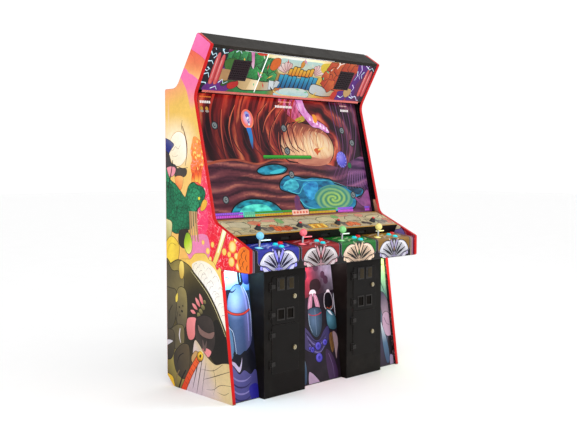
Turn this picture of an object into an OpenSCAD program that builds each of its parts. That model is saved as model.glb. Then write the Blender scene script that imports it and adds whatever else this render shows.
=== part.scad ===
// Four-player arcade cabinet: upright video machine with a wide control deck, two coin towers,
// a tilted screen, a backlit header and full-height side panels. Millimetres, +Z up, front is -Y.

/* [Overall] */
// Outer width over both side panels
cab_w = 1300; // [1100:10:1500]
// Side panel thickness
panel_t = 20; // [15:1:25]
// Thickness of the push-in edge trim
trim_t = 2.5; // [1.5:0.5:4]
// Thickness of inner boards
board_t = 15; // [12:1:18]

/* [Side profile, depth then height] */
// Leg front at the floor
pH = [-221, 0];
// Leg front under the deck
pG = [-127.5, 683];
// Nose bottom
pF = [-355, 681];
// Nose top
pE = [-355, 799];
// Foot of the screen
pD = [-70, 926];
// Head of the screen
pC = [94, 1576];
// Front of the roof
pB = [-57, 1827];
// Apex
pA = [57, 1900];
// Inner end of the rear ledge
pL = [250, 1624];
// Rear ledge corner
pK = [355, 1625];
// Top of the rear bottom chamfer
pJ = [355, 52];
// Rear of the base
pI = [296, 0];

/* [Control deck] */
// Deck front face position
deck_y = -347; // [-352:1:-330]
// Height of the deck top at its rear edge
deck_rear_z = 810; // [800:1:820]
// Slope of the deck top, degrees
deck_a = 7.2; // [0:0.1:12]
// Deck plate thickness
deck_t = 12; // [9:1:16]
// Spacing of the four player stations
station = 300; // [280:5:310]
// Joystick place in a station, across and deep
stick_at = [-92, -300];
// Front action button place
btn_a = [47, -314];
// Middle action button place
btn_b = [52, -262];
// Rear action button place
btn_c = [108, -238];
// Start button place on the shelf
start_at = [17, -163];

/* [Controls] */
// Joystick ball diameter
ball_d = 40; // [32:1:45]
// Ball centre height over the deck
ball_h = 64; // [50:1:75]
// Joystick shaft diameter
shaft_d = 11; // [8:0.5:12]
// Joystick pivot depth under the deck surface
pivot_d = 14; // [12:1:20]
// Action button bezel diameter
btn_d = 33; // [30:1:36]
// Action plunger diameter
plunger_d = 24; // [20:1:26]
// Radial running clearance
run = 0.05; // [0.02:0.01:0.1]

/* [Coin towers] */
// Centre of each tower from the middle
tower_x = 311.5; // [290:0.5:330]
// Tower width
tower_w = 293; // [260:1:300]
// Tower front face
tower_y = -242; // [-250:1:-230]
// Tower rear face
tower_yb = 20; // [0:1:60]
// Tower sheet thickness
sheet = 3; // [1.5:0.5:4]
// Door half width
door_hw = 95; // [80:1:110]
// Coin door bottom and top
cdoor = [384.5, 631];
// Cash door bottom and top
kdoor = [122, 377.5];
// Lock place across the door
lock_x = 65; // [50:1:75]
// Coin door lock height
lock_zc = 520; // [480:1:560]
// Cash door lock height
lock_zk = 244.5; // [200:1:300]

/* [Hidden] */
$fn = 48;
xi = cab_w/2 - panel_t;          // inner face of a side panel
xb = xi - 0.2;                   // ends of boards between the panels
PROF = [pH, pG, pF, pE, pD, pC, pB, pA, pL, pK, pJ, pI];
RAD  = [0, 14, 12, 10, 60, 85, 10, 15, 70, 10, 4, 0];
NP = len(PROF);

function unit(v) = v/norm(v);
function rn(a,b) = let(u=unit(b-a)) [u[1], -u[0]];
// vertex moved so that the edges before and after it shift inwards by d1 and d2
function moved(a,b,c,d1,d2) = let(n=rn(a,b), m=rn(b,c), k=n[0]*m[1]-n[1]*m[0])
  b + [(d1*m[1]-d2*n[1])/k, (d2*n[0]-d1*m[0])/k];
function inset(d,db) = [for (i=[0:NP-1]) moved(PROF[(i+NP-1)%NP], PROF[i], PROF[(i+1)%NP],
  (i+NP-1)%NP==NP-1 ? db : d, i==NP-1 ? db : d)];
function arc_pts(a,b,c,r,n) = r <= 0.01 ? [b] : let(u=unit(a-b), v=unit(c-b), h=acos(u*v)/2, t=r/tan(h),
  o=b+unit(u+v)*(r/sin(h)), p=b+u*t-o, q=b+v*t-o, a0=atan2(p[1],p[0]), a1=atan2(q[1],q[0]), da=((a1-a0+540)%360)-180)
  [for (i=[0:n]) o + r*[cos(a0+da*i/n), sin(a0+da*i/n)]];
// +1 at outward corners, -1 at the hollow ones
function turn(i) = let(a=PROF[(i+NP-1)%NP], b=PROF[i], c=PROF[(i+1)%NP], u=b-a, v=c-b) (u[0]*v[1]-u[1]*v[0]) < 0 ? 1 : -1;
function outline(d,db) = let(P=inset(d,db)) [for (i=[0:NP-1])
  each arc_pts(P[(i+NP-1)%NP], P[i], P[(i+1)%NP], RAD[i]==0 ? 0 : max(1, RAD[i]-turn(i)*d), RAD[i]>40 ? 12 : 5)];
function strip(p,q,d,t) = let(n=rn(p,q)) [p+n*d, q+n*d, q+n*(d+t), p+n*(d+t)];
function deck_z(y) = deck_rear_z + (y+199)*tan(deck_a);

module ext(x0,x1) translate([x0,0,0]) rotate([90,0,90]) linear_extrude(x1-x0) children();
module box(a,b) translate(a) cube([b[0]-a[0], b[1]-a[1], b[2]-a[2]]);
module on_deck(x,y) translate([x,y,deck_z(y)]) rotate([deck_a,0,0]) children();
// frames lying on a slope: s runs up the slope, +Z is the outward normal
shelf_lo = [-219, 856]; shelf_hi = [-46.5, 927.718];
shelf_a = atan2(shelf_hi[1]-shelf_lo[1], shelf_hi[0]-shelf_lo[0]);
module on_shelf(x,y) translate([x, y, shelf_lo[1]+(y-shelf_lo[0])*tan(shelf_a)]) rotate([shelf_a,0,0]) children();
bez_lo = [-41, 928]; bez_hi = [111, 1600]; bez_len = norm(bez_hi-bez_lo);
bez_a = atan2(bez_hi[1]-bez_lo[1], bez_hi[0]-bez_lo[0]);
module on_bezel() translate([0, bez_lo[0], bez_lo[1]]) rotate([bez_a,0,0]) children();
mar_v = unit(pC-pB); mar_n = rn(pC,pB);
mar_a = atan2(-mar_v[1], -mar_v[0]);
mar_o = pB + mar_n*3;            // top of the header's front surface line
// header frame: s counts down from the roof line
module on_marquee(s) translate([0, mar_o[0]+mar_v[0]*s, mar_o[1]+mar_v[1]*s]) rotate([mar_a,0,0]) children();
stations = [-1.5*station, -0.5*station, 0.5*station, 1.5*station];
towers = [-tower_x, tower_x];

// ---------- side panels and trim ----------
module panel(x0,x1) {
  xm = (x0+x1)/2;
  difference() {
    ext(x0,x1) polygon(outline(trim_t,0));
    ext(xm-1,xm+1) difference() { polygon(outline(0,-5)); polygon(outline(10,2)); }
  }
}
module side_panel_left() color([0.86,0.35,0.22]) panel(-cab_w/2, -xi);
module side_panel_right() color([0.86,0.35,0.22]) panel(xi, cab_w/2);
module trim(x0,x1) {
  xm = (x0+x1)/2;
  intersection() {
    union() {
      ext(x0,x1) difference() { polygon(outline(0,-5)); polygon(outline(trim_t,-6)); }
      ext(xm-0.8,xm+0.8) difference() { polygon(outline(0.5,-5)); polygon(outline(8.5,-6)); }
    }
    box([x0-1,-400,4],[x1+1,400,1950]);
  }
}
module edge_trims() color([0.85,0.05,0.04]) { trim(-cab_w/2,-xi); trim(xi,cab_w/2); }

// ---------- boards ----------
ua = unit(pA-pB); ul = unit(pL-pA); na = rn(pB,pA); nl = rn(pA,pL);
module roof_panel() color([0.16,0.14,0.12]) {
  ext(-xb,xb) polygon([pB+ua*3.5+na*1, pA-ua*2+na*1, pA-ua*2+na*17, pB+ua*3.5+na*17]);
  difference() {
    ext(-xb,xb) polygon([pA+ul*19+nl*2, pA+ul*336+nl*2, pA+ul*336+nl*17, pA+ul*19+nl*17]);
    for (i=[-3:3], s=[100,150,200]) let(c=pA+ul*s+nl*9)
      translate([i*130, c[0], c[1]]) rotate([atan2(ul[1],ul[0]),0,0]) translate([-50,-6,-20]) cube([100,12,40]);
  }
}
module base_panel() color([0.30,0.25,0.20]) difference() {
  ext(-xb,xb) polygon([[-172,40],[274,40],[274,88],[330,88],[330,100],[262,100],[262,60],[-172,60]]);
  for (t=towers) box([t-tower_w/2-0.3,-200,30],[t+tower_w/2+0.3,tower_yb+0.3,70]);
  for (x=[-1,1]) translate([x*560,150,30]) cylinder(r=8,h=40);
}
// service opening half width, bottom, top
so_w = 300; so_z0 = 260; so_z1 = 1260;
module back_panel() color([0.20,0.18,0.16]) {
  difference() {
    box([-xb,330,100.3],[xb,345,1605.7]);
    box([-so_w,320,so_z0],[so_w,350,so_z1]);
    box([476,320,186],[524,350,214]);
    for (i=[-2:2], z=[1340,1370,1400,1430]) box([i*110-42,320,z],[i*110+42,350,z+9]);
  }
  box([-xb,246,1606],[xb,343,1621]);
}
function kick_y(z) = pH[0] + 20.2 + (pG[0]-pH[0])*z/683;
module kick_panel() color([0.25,0.22,0.35])
  for (r=[[-xb,-tower_x-tower_w/2-0.3],[-tower_x+tower_w/2+0.3,tower_x-tower_w/2-0.3],[tower_x+tower_w/2+0.3,xb]])
    ext(r[0],r[1]) polygon([[kick_y(0),0],[kick_y(680.7),680.7],[kick_y(680.7)+board_t,680.7],[kick_y(0)+board_t,0]]);

// ---------- coin towers ----------
ow = 86; // door opening half width
module tower() difference() {
  box([-tower_w/2,tower_y,0],[tower_w/2,tower_yb,680.7]);
  box([-tower_w/2+sheet,tower_y+sheet,sheet],[tower_w/2-sheet,tower_yb-sheet,125]);
  box([-tower_w/2+sheet,tower_y+sheet,128],[tower_w/2-sheet,tower_yb-sheet,379]);
  box([-tower_w/2+sheet,tower_y+sheet,382],[tower_w/2-sheet,tower_yb-sheet,677.7]);
  box([-ow,tower_y-5,128],[ow,tower_y+5,371]);
  box([-ow,tower_y-5,391],[ow,tower_y+5,624]);
  box([-60,-190,375],[60,-90,385]);
  translate([0,-40,670]) cylinder(r=20,h=20);
}
module coin_towers() color([0.10,0.095,0.09]) for (t=towers) translate([t,0,0]) tower();
module cash_boxes() color([0.62,0.63,0.64]) for (t=towers) translate([t,0,0]) {
  difference() {
    box([-74,-228,128.2],[74,-30,262]);
    box([-72,-226,130.2],[72,-32,270]);
    translate([0,-220,232]) rotate([90,0,0]) cylinder(r=14,h=20);
  }
}

// ---------- doors; hinge axis at the left edge ----------
hx = -98.5; hy = tower_y-7;
module slab(w0,w1,z0,z1,y0,y1,r) translate([0,y1,0]) rotate([90,0,0]) linear_extrude(y1-y0)
  polygon([each arc_pts([w1,z0],[w0,z0],[w0,z1],r,8), each arc_pts([w0,z0],[w0,z1],[w1,z1],r,8),
           each arc_pts([w0,z1],[w1,z1],[w1,z0],r,8), each arc_pts([w1,z1],[w1,z0],[w0,z0],r,8)]);
// moving knuckles: one at each quarter of the door height
module knuckles(z0,z1) for (k=[0.2,0.8]) let(z=z0+(z1-z0)*k) difference() {
  union() {
    translate([hx,hy,z-10]) cylinder(r=3.5,h=20);
    box([hx,hy+0.5,z-10],[hx+24,tower_y-2.9,z+10]);
  }
  translate([hx,hy,z-11]) cylinder(r=2+run,h=22);
}
module lock_hole(z) translate([lock_x,tower_y+4,z]) rotate([90,0,0]) cylinder(r=9.5,h=30);
reject_x = [-34, 34]; reject_z = 592; cup_z = 432;
module coin_door() {
  difference() {
    union() {
      slab(-door_hw,door_hw,cdoor[0],cdoor[1],tower_y-3,tower_y-0.3,14);
      for (x=reject_x) translate([x,0,0]) slab(-27,27,reject_z-34,reject_z+34,tower_y-6,tower_y-2.8,4);
      for (x=reject_x) translate([x,0,0]) slab(-27,27,cup_z-31,cup_z+31,tower_y-6,tower_y-2.8,3);
      for (x=reject_x) box([x-24,tower_y-1,cup_z-28],[x+24,tower_y+34,cup_z+28]);
      translate([lock_x,tower_y-2.5,lock_zc]) rotate([90,0,0]) cylinder(r=15,h=2);
    }
    for (x=reject_x) {
      box([x-7,tower_y-8,reject_z-27],[x+22,tower_y+1,reject_z+27]);
      box([x-18.5,tower_y-8,reject_z-15],[x-15,tower_y+1,reject_z+15]);
      translate([x,0,0]) slab(-21,21,cup_z-25,cup_z+25,tower_y-8,tower_y+32,2);
    }
    lock_hole(lock_zc);
  }
  knuckles(cdoor[0],cdoor[1]);
  // coin acceptor frame behind each entry
  for (x=reject_x) difference() {
    box([x-30,tower_y-0.3,reject_z-62],[x+30,tower_y+48,reject_z+31]);
    box([x-10,tower_y-2,reject_z-31],[x+25,tower_y+14,reject_z+30]);
    box([x-19,tower_y-2,reject_z-15],[x-14,tower_y+30,reject_z+15]);
    box([x-22,tower_y+20,reject_z-58],[x+22,tower_y+60,reject_z+22]);
  }
}
module cash_door() {
  difference() {
    union() {
      slab(-door_hw,door_hw,kdoor[0],kdoor[1],tower_y-3,tower_y-0.3,10);
      box([-80,tower_y-0.4,kdoor[0]+12],[80,tower_y+2.4,kdoor[0]+20]);
      box([-80,tower_y-0.4,kdoor[1]-20],[80,tower_y+2.4,kdoor[1]-12]);
      translate([lock_x,tower_y-2.5,lock_zk]) rotate([90,0,0]) cylinder(r=15,h=2);
    }
    lock_hole(lock_zk);
  }
  knuckles(kdoor[0],kdoor[1]);
}
module coin_door_left() color([0.11,0.10,0.10]) translate([-tower_x,0,0]) coin_door();
module coin_door_right() color([0.11,0.10,0.10]) translate([tower_x,0,0]) coin_door();
module cash_door_left() color([0.11,0.10,0.10]) translate([-tower_x,0,0]) cash_door();
module cash_door_right() color([0.11,0.10,0.10]) translate([tower_x,0,0]) cash_door();
// cam lock: face, barrel and a tongue that points down when open
module cam_lock(z) translate([lock_x,0,z]) rotate([90,0,0]) difference() {
  union() {
    translate([0,0,-tower_y+4.9]) cylinder(r=12.5,h=3);
    translate([0,0,-tower_y+4.9]) cylinder(r=9.5,h=6.5);
    translate([0,0,-tower_y-12]) cylinder(r=9.5-run,h=18);
    translate([-7,-32,-tower_y-7]) cube([14,38,3.5]);
    translate([0,0,-tower_y-13]) cylinder(r=5,h=4,$fn=6);
  }
  translate([-1,-4.5,-tower_y+8]) cube([2,9,10]);
}
module coin_lock_left() color([0.75,0.72,0.66]) translate([-tower_x,0,0]) cam_lock(lock_zc);
module coin_lock_right() color([0.75,0.72,0.66]) translate([tower_x,0,0]) cam_lock(lock_zc);
module cash_lock_left() color([0.75,0.72,0.66]) translate([-tower_x,0,0]) cam_lock(lock_zk);
module cash_lock_right() color([0.75,0.72,0.66]) translate([tower_x,0,0]) cam_lock(lock_zk);
module reject(t,i) translate([t+reject_x[i],0,0]) union() {
  slab(-6.6,21.6,reject_z-26.6,reject_z+26.6,tower_y-7.5,tower_y+8,2);
  box([-9.5,tower_y+0.2,reject_z-29.5],[24.5,tower_y+4,reject_z+29]);
}
module reject_button_1() color([0.80,0.55,0.12]) reject(-tower_x,0);
module reject_button_2() color([0.80,0.55,0.12]) reject(-tower_x,1);
module reject_button_3() color([0.80,0.55,0.12]) reject(tower_x,0);
module reject_button_4() color([0.80,0.55,0.12]) reject(tower_x,1);

// ---------- control deck ----------
module deck_prof() {
  n = [sin(deck_a), -cos(deck_a)];
  r0 = [-172, deck_z(-172)]; f0 = [deck_y, deck_z(deck_y)]; f1 = [deck_y, 681]; b0 = [-88, 681];
  polygon([r0, each arc_pts(r0,f0,f1,14,8), each arc_pts(f0,f1,b0,5,5), b0, b0+[0,deck_t],
    [deck_y+board_t+3, 681+deck_t], [deck_y+board_t, 684+deck_t],
    [deck_y+board_t, deck_z(deck_y+board_t)-deck_t/cos(deck_a)-3], [deck_y+board_t+3, deck_z(deck_y+board_t+3)-deck_t/cos(deck_a)],
    r0+n*deck_t]);
}
module control_deck() color([0.12,0.12,0.16]) difference() {
  ext(-xb,xb) deck_prof();
  for (s=stations) {
    on_deck(s+stick_at[0],stick_at[1]) translate([0,0,-30]) cylinder(r=22.6,h=40);
    for (b=[btn_a,btn_b,btn_c]) on_deck(s+b[0],b[1]) translate([0,0,-30]) cylinder(r=14,h=40);
  }
  for (t=towers) translate([t,-200,670]) cylinder(r=20,h=30);
}
// housing: bezel on the plate, barrel through it, nut and switch below
module act_housing() difference() {
  union() {
    cylinder(r=btn_d/2,h=2.4); translate([0,0,2.4]) cylinder(r1=btn_d/2,r2=btn_d/2-2,h=1.6);
    translate([0,0,-30]) cylinder(r=13.9,h=31);
    translate([0,0,-deck_t-5.3]) cylinder(r=17.5,h=5,$fn=12);
    translate([-8,-5,-44]) cube([16,10,15]);
  }
  translate([0,0,-24]) cylinder(r=plunger_d/2+run,h=40);
}
module start_housing() difference() {
  union() {
    cylinder(r=19,h=2); translate([0,0,2]) cylinder(r1=18.4,r2=10.5,h=21);
    translate([0,0,-30]) cylinder(r=11.9,h=31);
    translate([0,0,-17.3]) cylinder(r=16,h=5,$fn=12);
  }
  translate([0,0,-24]) cylinder(r=7.5+run,h=60);
}
module button_housings() color([0.08,0.62,0.66]) for (s=stations) {
  for (b=[btn_a,btn_b,btn_c]) on_deck(s+b[0],b[1]) act_housing();
  on_shelf(s+start_at[0],start_at[1]) start_housing();
}
module act_plunger() { translate([0,0,-20]) cylinder(r=plunger_d/2,h=28.2); translate([0,0,8.2]) cylinder(r1=plunger_d/2,r2=plunger_d/2-1,h=0.9);
  translate([0,0,9.1]) cylinder(r1=plunger_d/2-1,r2=plunger_d/2-3.5,h=1.2); }
module act(s,b) on_deck(stations[s]+b[0],b[1]) act_plunger();
module button_1a() color([0.1,0.85,0.9]) act(0,btn_a);
module button_1b() color([0.1,0.85,0.9]) act(0,btn_b);
module button_1c() color([0.85,0.05,0.05]) act(0,btn_c);
module button_2a() color([0.1,0.85,0.9]) act(1,btn_a);
module button_2b() color([0.1,0.85,0.9]) act(1,btn_b);
module button_2c() color([0.85,0.05,0.05]) act(1,btn_c);
module button_3a() color([0.1,0.85,0.9]) act(2,btn_a);
module button_3b() color([0.1,0.85,0.9]) act(2,btn_b);
module button_3c() color([0.85,0.05,0.05]) act(2,btn_c);
module button_4a() color([0.1,0.85,0.9]) act(3,btn_a);
module button_4b() color([0.1,0.85,0.9]) act(3,btn_b);
module button_4c() color([0.85,0.05,0.05]) act(3,btn_c);
module start(s) on_shelf(stations[s]+start_at[0],start_at[1]) {
  translate([0,0,-18]) cylinder(r=7.5,h=44.5); translate([0,0,26.5]) cylinder(r1=7.5,r2=6,h=1.5); }
module start_button_1() color([0.85,0.08,0.08]) start(0);
module start_button_2() color([0.85,0.08,0.08]) start(1);
module start_button_3() color([0.85,0.08,0.08]) start(2);
module start_button_4() color([0.85,0.08,0.08]) start(3);
// joystick: ring on the deck, cage below with two bearing posts
module joy_base() {
  difference() { cylinder(r=26,h=2); translate([0,0,-1]) cylinder(r=17.5,h=5); }
  translate([0,0,-pivot_d]) difference() {
    union() {
      difference() {
        box([-42,-28,-38],[42,28,1.6]);
        box([-39,-25,-35],[39,25,3]);
      }
      for (x=[-1,1]) box([x>0?13:-17,-6,-36],[x>0?17:-13,6,3.6]);
      for (x=[-1,1]) box([x*32-5,-20,-36],[x*32+5,20,-24]);
    }
    rotate([0,90,0]) translate([0,0,-30]) cylinder(r=2.5+run,h=60);
    translate([0,0,-45]) cylinder(r=12,h=20);
  }
}
module joystick_bases() color([0.13,0.13,0.14]) for (s=stations) on_deck(s+stick_at[0],stick_at[1]) joy_base();
module gimbal(s) on_deck(stations[s]+stick_at[0],stick_at[1]) translate([0,0,-pivot_d]) difference() {
  union() { translate([0,0,-4]) cylinder(r=12,h=8); rotate([0,90,0]) translate([0,0,-16.8]) cylinder(r=2.5,h=33.6); }
  translate([0,0,-6]) cylinder(r=8.5,h=12);
  rotate([90,0,0]) translate([0,0,-20]) cylinder(r=2+run,h=40);
}
module gimbal_1() color([0.55,0.56,0.58]) gimbal(0);
module gimbal_2() color([0.55,0.56,0.58]) gimbal(1);
module gimbal_3() color([0.55,0.56,0.58]) gimbal(2);
module gimbal_4() color([0.55,0.56,0.58]) gimbal(3);
// lever: ball, shaft, cross pins and a domed dust cap that turns about the pivot
module joystick(s) on_deck(stations[s]+stick_at[0],stick_at[1]) translate([0,0,-pivot_d]) {
  translate([0,0,ball_h+pivot_d]) sphere(r=ball_d/2);
  translate([0,0,-28]) cylinder(r=5,h=32);
  translate([0,0,3]) cylinder(r=shaft_d/2,h=ball_h+pivot_d-8);
  rotate([90,0,0]) translate([0,0,-11.6]) cylinder(r=2,h=23.2);
  rotate_extrude() polygon([for (a=[0:5:68]) 22*[sin(a),cos(a)], for (a=[68:-5:0]) 20.4*[sin(a),cos(a)], [0,20.4]]);
}
module joystick_1() color([0.35,0.75,0.90]) joystick(0);
module joystick_2() color([0.90,0.30,0.38]) joystick(1);
module joystick_3() color([0.35,0.72,0.35]) joystick(2);
module joystick_4() color([0.92,0.85,0.45]) joystick(3);

// ---------- shelf, screen and header ----------
module instruction_shelf() color([0.62,0.52,0.34]) difference() {
  n = [sin(shelf_a), -cos(shelf_a)];
  r0 = shelf_lo + n*12; r1 = [-199.3, 811.8];
  m = -rn(r0,r1);
  ext(-xb,xb) polygon([shelf_lo, shelf_hi, shelf_hi+n*12, r0+m*12+[4,1.8], r1+m*12, r1, r0]);
  for (s=stations) {
    on_shelf(s+start_at[0],start_at[1]) translate([0,0,-30]) cylinder(r=12,h=40);
    let(c=(r0+r1)/2) box([s-156,c[0]-12,c[1]-8],[s-90,c[0]+6,c[1]+8]);
  }
}
module monitor_bezel() color([0.03,0.03,0.035]) on_bezel() difference() {
  box([-xb,-8,-14],[xb,bez_len+11,0]);
  translate([-618.5,-3.5,-20]) cube([1237,bez_len+1.5,30]);
}
module monitor() color([0.02,0.02,0.03]) on_bezel() {
  box([-624,-7,-46],[624,bez_len+6,-14.2]);
  box([-420,120,-78],[420,bez_len-110,-46]);
  for (x=[-200,200], y=[250,450]) translate([x,y,-84]) cylinder(r=10,h=10);
}
module marquee_panel() color([0.85,0.55,0.25]) on_marquee(0) difference() {
  box([-xb,-258,-5],[xb,-20,0]);
  for (x=[-404,404]) box([x-62,-190,-10],[x+62,-71,5]);
}
module marquee_retainer() color([0.80,0.35,0.32]) on_marquee(0)
  difference() { box([-604,-271,-18],[604,-258.3,0]); box([-610,-268.5,-30],[610,-261,-3]); }
module speakers() color([0.06,0.06,0.065]) on_marquee(0) for (x=[-404,404]) translate([x,-130.5,0]) {
  difference() {
    box([-61.7,-59.2,-5],[61.7,59.2,-1]);
    for (i=[-3.5:3.5], j=[-3.5:3.5]) translate([i*13.5,j*13,-8]) cylinder(r=3.6,h=10);
  }
  difference() { box([-70,-66,-12],[70,66,-5.2]); translate([0,0,-20]) cylinder(r=54,h=40); }
  difference() { translate([0,0,-34]) cylinder(r1=24,r2=54,h=22.2); translate([0,0,-32]) cylinder(r1=22,r2=53,h=20.5); }
  translate([0,0,-46]) cylinder(r=30,h=13);
}
module lamp_strips() {
  color([0.9,0.92,0.95]) for (s=stations) {
    translate([s-4,-209.4,824.6]) rotate([0,90,0]) cylinder(r=3,h=72);
    for (x=[-4,64]) translate([s+x,-209.4,824.6]) rotate([0,90,0]) cylinder(r=3.3,h=4);
  }
  color([0.9,0.92,0.95]) on_marquee(0) {
    box([-345,-235,-78],[345,-45,-75]);
    for (y=[-90,-190]) translate([-330,y,-63]) rotate([0,90,0]) cylinder(r=8,h=660);
    for (y=[-90,-190], x=[-338,326]) box([x,y-12,-75],[x+12,y+12,-52]);
  }
}

// ---------- inside and rear ----------
module game_computer() color([0.45,0.46,0.48]) {
  difference() {
    box([-150,60,60.2],[150,250,210]);
    box([-148,62,62.2],[148,248,208]);
    for (i=[0:8]) box([-120+i*28,240,80],[-108+i*28,260,190]);
  }
  box([-560,70,60.2],[-400,230,130]);
}
module bracket_wheel(x) difference() {
  union() {
    box([x-34,292,84.8],[x+34,330,87.8]);
    for (k=[-1,1]) box([x+k*31-3,300,30],[x+k*31+3,330,87]);
  }
  translate([x-50,318,45]) rotate([0,90,0]) cylinder(r=6+run,h=100);
}
// fixed half of a door hinge: two knuckles, a pin and a leaf
module fixed_hinge(z) {
  for (k=[-1,1]) translate([hx,hy,z+(k>0?10.3:-22.3)]) cylinder(r=3.5,h=12);
  translate([hx,hy,z-22]) cylinder(r=2,h=44);
  for (k=[-1,1]) box([hx-14,hy+1,z+(k>0?10.3:-22.3)],[hx,tower_y-3.2,z+(k>0?22.3:-10.3)]);
  box([hx-14,tower_y-4,z-22.3],[hx-4.6,tower_y-0.01,z+22.3]);
}
sx = -so_w-1; sy = 349.6;
module service_hinge(z) {
  for (k=[-1,1]) translate([sx,sy,z+(k>0?20.3:-40.3)]) cylinder(r=3.6,h=20);
  translate([sx,sy,z-40]) cylinder(r=2,h=80);
  for (k=[-1,1]) box([sx-22,346,z+(k>0?20.3:-40.3)],[sx,349,z+(k>0?40.3:-20.3)]);
  box([sx-22,345.01,z-40.3],[sx-4.8,347,z+40.3]);
}
module hinges_and_brackets() color([0.50,0.50,0.52]) {
  for (t=towers, d=[cdoor,kdoor], k=[0.2,0.8]) translate([t,0,0]) fixed_hinge(d[0]+(d[1]-d[0])*k);
  for (z=[420,760,1100]) service_hinge(z);
  for (x=[-575,575]) bracket_wheel(x);
  on_bezel() for (s=[200,500]) difference() { box([-xb,s-15,-104],[xb,s+15,-84.2]); box([-xb-1,s-12,-110],[xb+1,s+12,-87]); }
  for (x=[-600,-200,200,600], z=[130,1580]) translate([x,345,z]) rotate([-90,0,0]) cylinder(r1=7,r2=4,h=3);
}
module service_door() color([0.22,0.20,0.18]) {
  difference() {
    union() {
      box([-so_w+2,330,so_z0+2],[so_w-2,344.8,so_z1-2]);
      for (z=[420,760,1100]) translate([sx,sy,z-20]) cylinder(r=3.6,h=40);
      for (z=[420,760,1100]) box([sx,345.6,z-20],[sx+30,348.6,z+20]);
      for (z=[420,760,1100]) box([sx+6,344.5,z-20],[sx+30,346,z+20]);
      translate([so_w-40,344,760]) rotate([-90,0,0]) cylinder(r=14,h=6);
    }
    for (z=[420,760,1100]) translate([sx,sy,z-21]) cylinder(r=2+run,h=42);
    for (i=[-2:2], z=[320,350,380]) box([i*90-34,320,z],[i*90+34,350,z+9]);
  }
}
module power_inlet() color([0.08,0.08,0.08]) {
  difference() {
    union() { box([472,345.1,182],[528,348,218]); box([476.3,300,186.3],[523.7,345.5,213.7]); }
    box([480,320,190],[504,360,210]);
    box([508,340,191],[520,360,209]);
  }
  for (x=[486,492,498]) box([x-1,315,199],[x+1,338,203]);
  box([508.4,336,191.4],[519.6,349.5,208.6]);
}
module transport_wheels() color([0.10,0.10,0.10]) translate([0,318,45]) rotate([0,90,0]) {
  translate([0,0,-618]) cylinder(r=6,h=1236);
  for (x=[-575,575]) translate([0,0,x-15]) difference() {
    cylinder(r=35,h=30);
    for (z=[-1,24]) translate([0,0,z]) difference() { cylinder(r=25,h=7); translate([0,0,-1]) cylinder(r=12,h=9); }
  }
}

side_panel_left();
side_panel_right();
edge_trims();
roof_panel();
base_panel();
back_panel();
kick_panel();
coin_towers();
control_deck();
button_housings();
joystick_bases();
monitor();
monitor_bezel();
marquee_panel();
marquee_retainer();
speakers();
instruction_shelf();
lamp_strips();
cash_boxes();
game_computer();
hinges_and_brackets();
power_inlet();
transport_wheels();
service_door();
coin_door_left();
coin_door_right();
cash_door_left();
cash_door_right();
coin_lock_left();
coin_lock_right();
cash_lock_left();
cash_lock_right();
reject_button_1();
reject_button_2();
reject_button_3();
reject_button_4();
gimbal_1();
gimbal_2();
gimbal_3();
gimbal_4();
joystick_1();
joystick_2();
joystick_3();
joystick_4();
button_1a();
button_1b();
button_1c();
button_2a();
button_2b();
button_2c();
button_3a();
button_3b();
button_3c();
button_4a();
button_4b();
button_4c();
start_button_1();
start_button_2();
start_button_3();
start_button_4();
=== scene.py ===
import math
import bpy
import numpy as np
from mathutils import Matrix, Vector
from mathutils.geometry import delaunay_2d_cdt


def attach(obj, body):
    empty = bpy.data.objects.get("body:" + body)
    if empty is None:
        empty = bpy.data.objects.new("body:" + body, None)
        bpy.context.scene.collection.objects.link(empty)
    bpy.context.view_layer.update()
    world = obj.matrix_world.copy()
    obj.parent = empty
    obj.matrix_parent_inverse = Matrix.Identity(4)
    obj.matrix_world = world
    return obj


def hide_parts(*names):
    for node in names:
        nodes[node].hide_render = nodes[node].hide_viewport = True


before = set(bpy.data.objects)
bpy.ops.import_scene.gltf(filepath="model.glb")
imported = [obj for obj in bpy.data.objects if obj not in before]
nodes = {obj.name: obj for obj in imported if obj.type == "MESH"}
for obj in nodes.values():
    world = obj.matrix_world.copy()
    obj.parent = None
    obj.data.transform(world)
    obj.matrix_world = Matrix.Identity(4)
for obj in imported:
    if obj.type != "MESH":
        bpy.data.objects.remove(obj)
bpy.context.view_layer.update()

STN = (-450.0, -150.0, 150.0, 450.0)


# ------------------------------------------------------------------ colours
def lin1(v):
    v = v / 255.0
    return v / 12.92 if v <= 0.04045 else ((v + 0.055) / 1.055) ** 2.4


def C(r, g, b, k=1.0):
    return np.array([lin1(r) * k, lin1(g) * k, lin1(b) * k])


def rgba(c, a=1.0):
    return (float(c[0]), float(c[1]), float(c[2]), a)


# ------------------------------------------------------------------ value noise for painted gradients
def _hash(ix, iy, seed):
    n = (ix * 374761393 + iy * 668265263 + seed * 1442695041) & 0xFFFFFFFF
    n = ((n ^ (n >> 13)) * 1274126177) & 0xFFFFFFFF
    return ((n ^ (n >> 16)) & 0xFFFF) / 65535.0


def vnoise(x, y, seed=0):
    x = np.asarray(x, float); y = np.asarray(y, float)
    ix = np.floor(x).astype(np.int64); iy = np.floor(y).astype(np.int64)
    fx = x - ix; fy = y - iy
    fx = fx * fx * (3 - 2 * fx); fy = fy * fy * (3 - 2 * fy)
    a = _hash(ix, iy, seed); b = _hash(ix + 1, iy, seed)
    c = _hash(ix, iy + 1, seed); d = _hash(ix + 1, iy + 1, seed)
    return (a * (1 - fx) + b * fx) * (1 - fy) + (c * (1 - fx) + d * fx) * fy


def fbm(x, y, seed=0, octaves=4):
    s = 0.0; k = 0.5
    for i in range(octaves):
        s = s + k * vnoise(x * 2 ** i, y * 2 ** i, seed + i * 17); k *= 0.5
    return s / (1 - 0.5 ** octaves)


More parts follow.
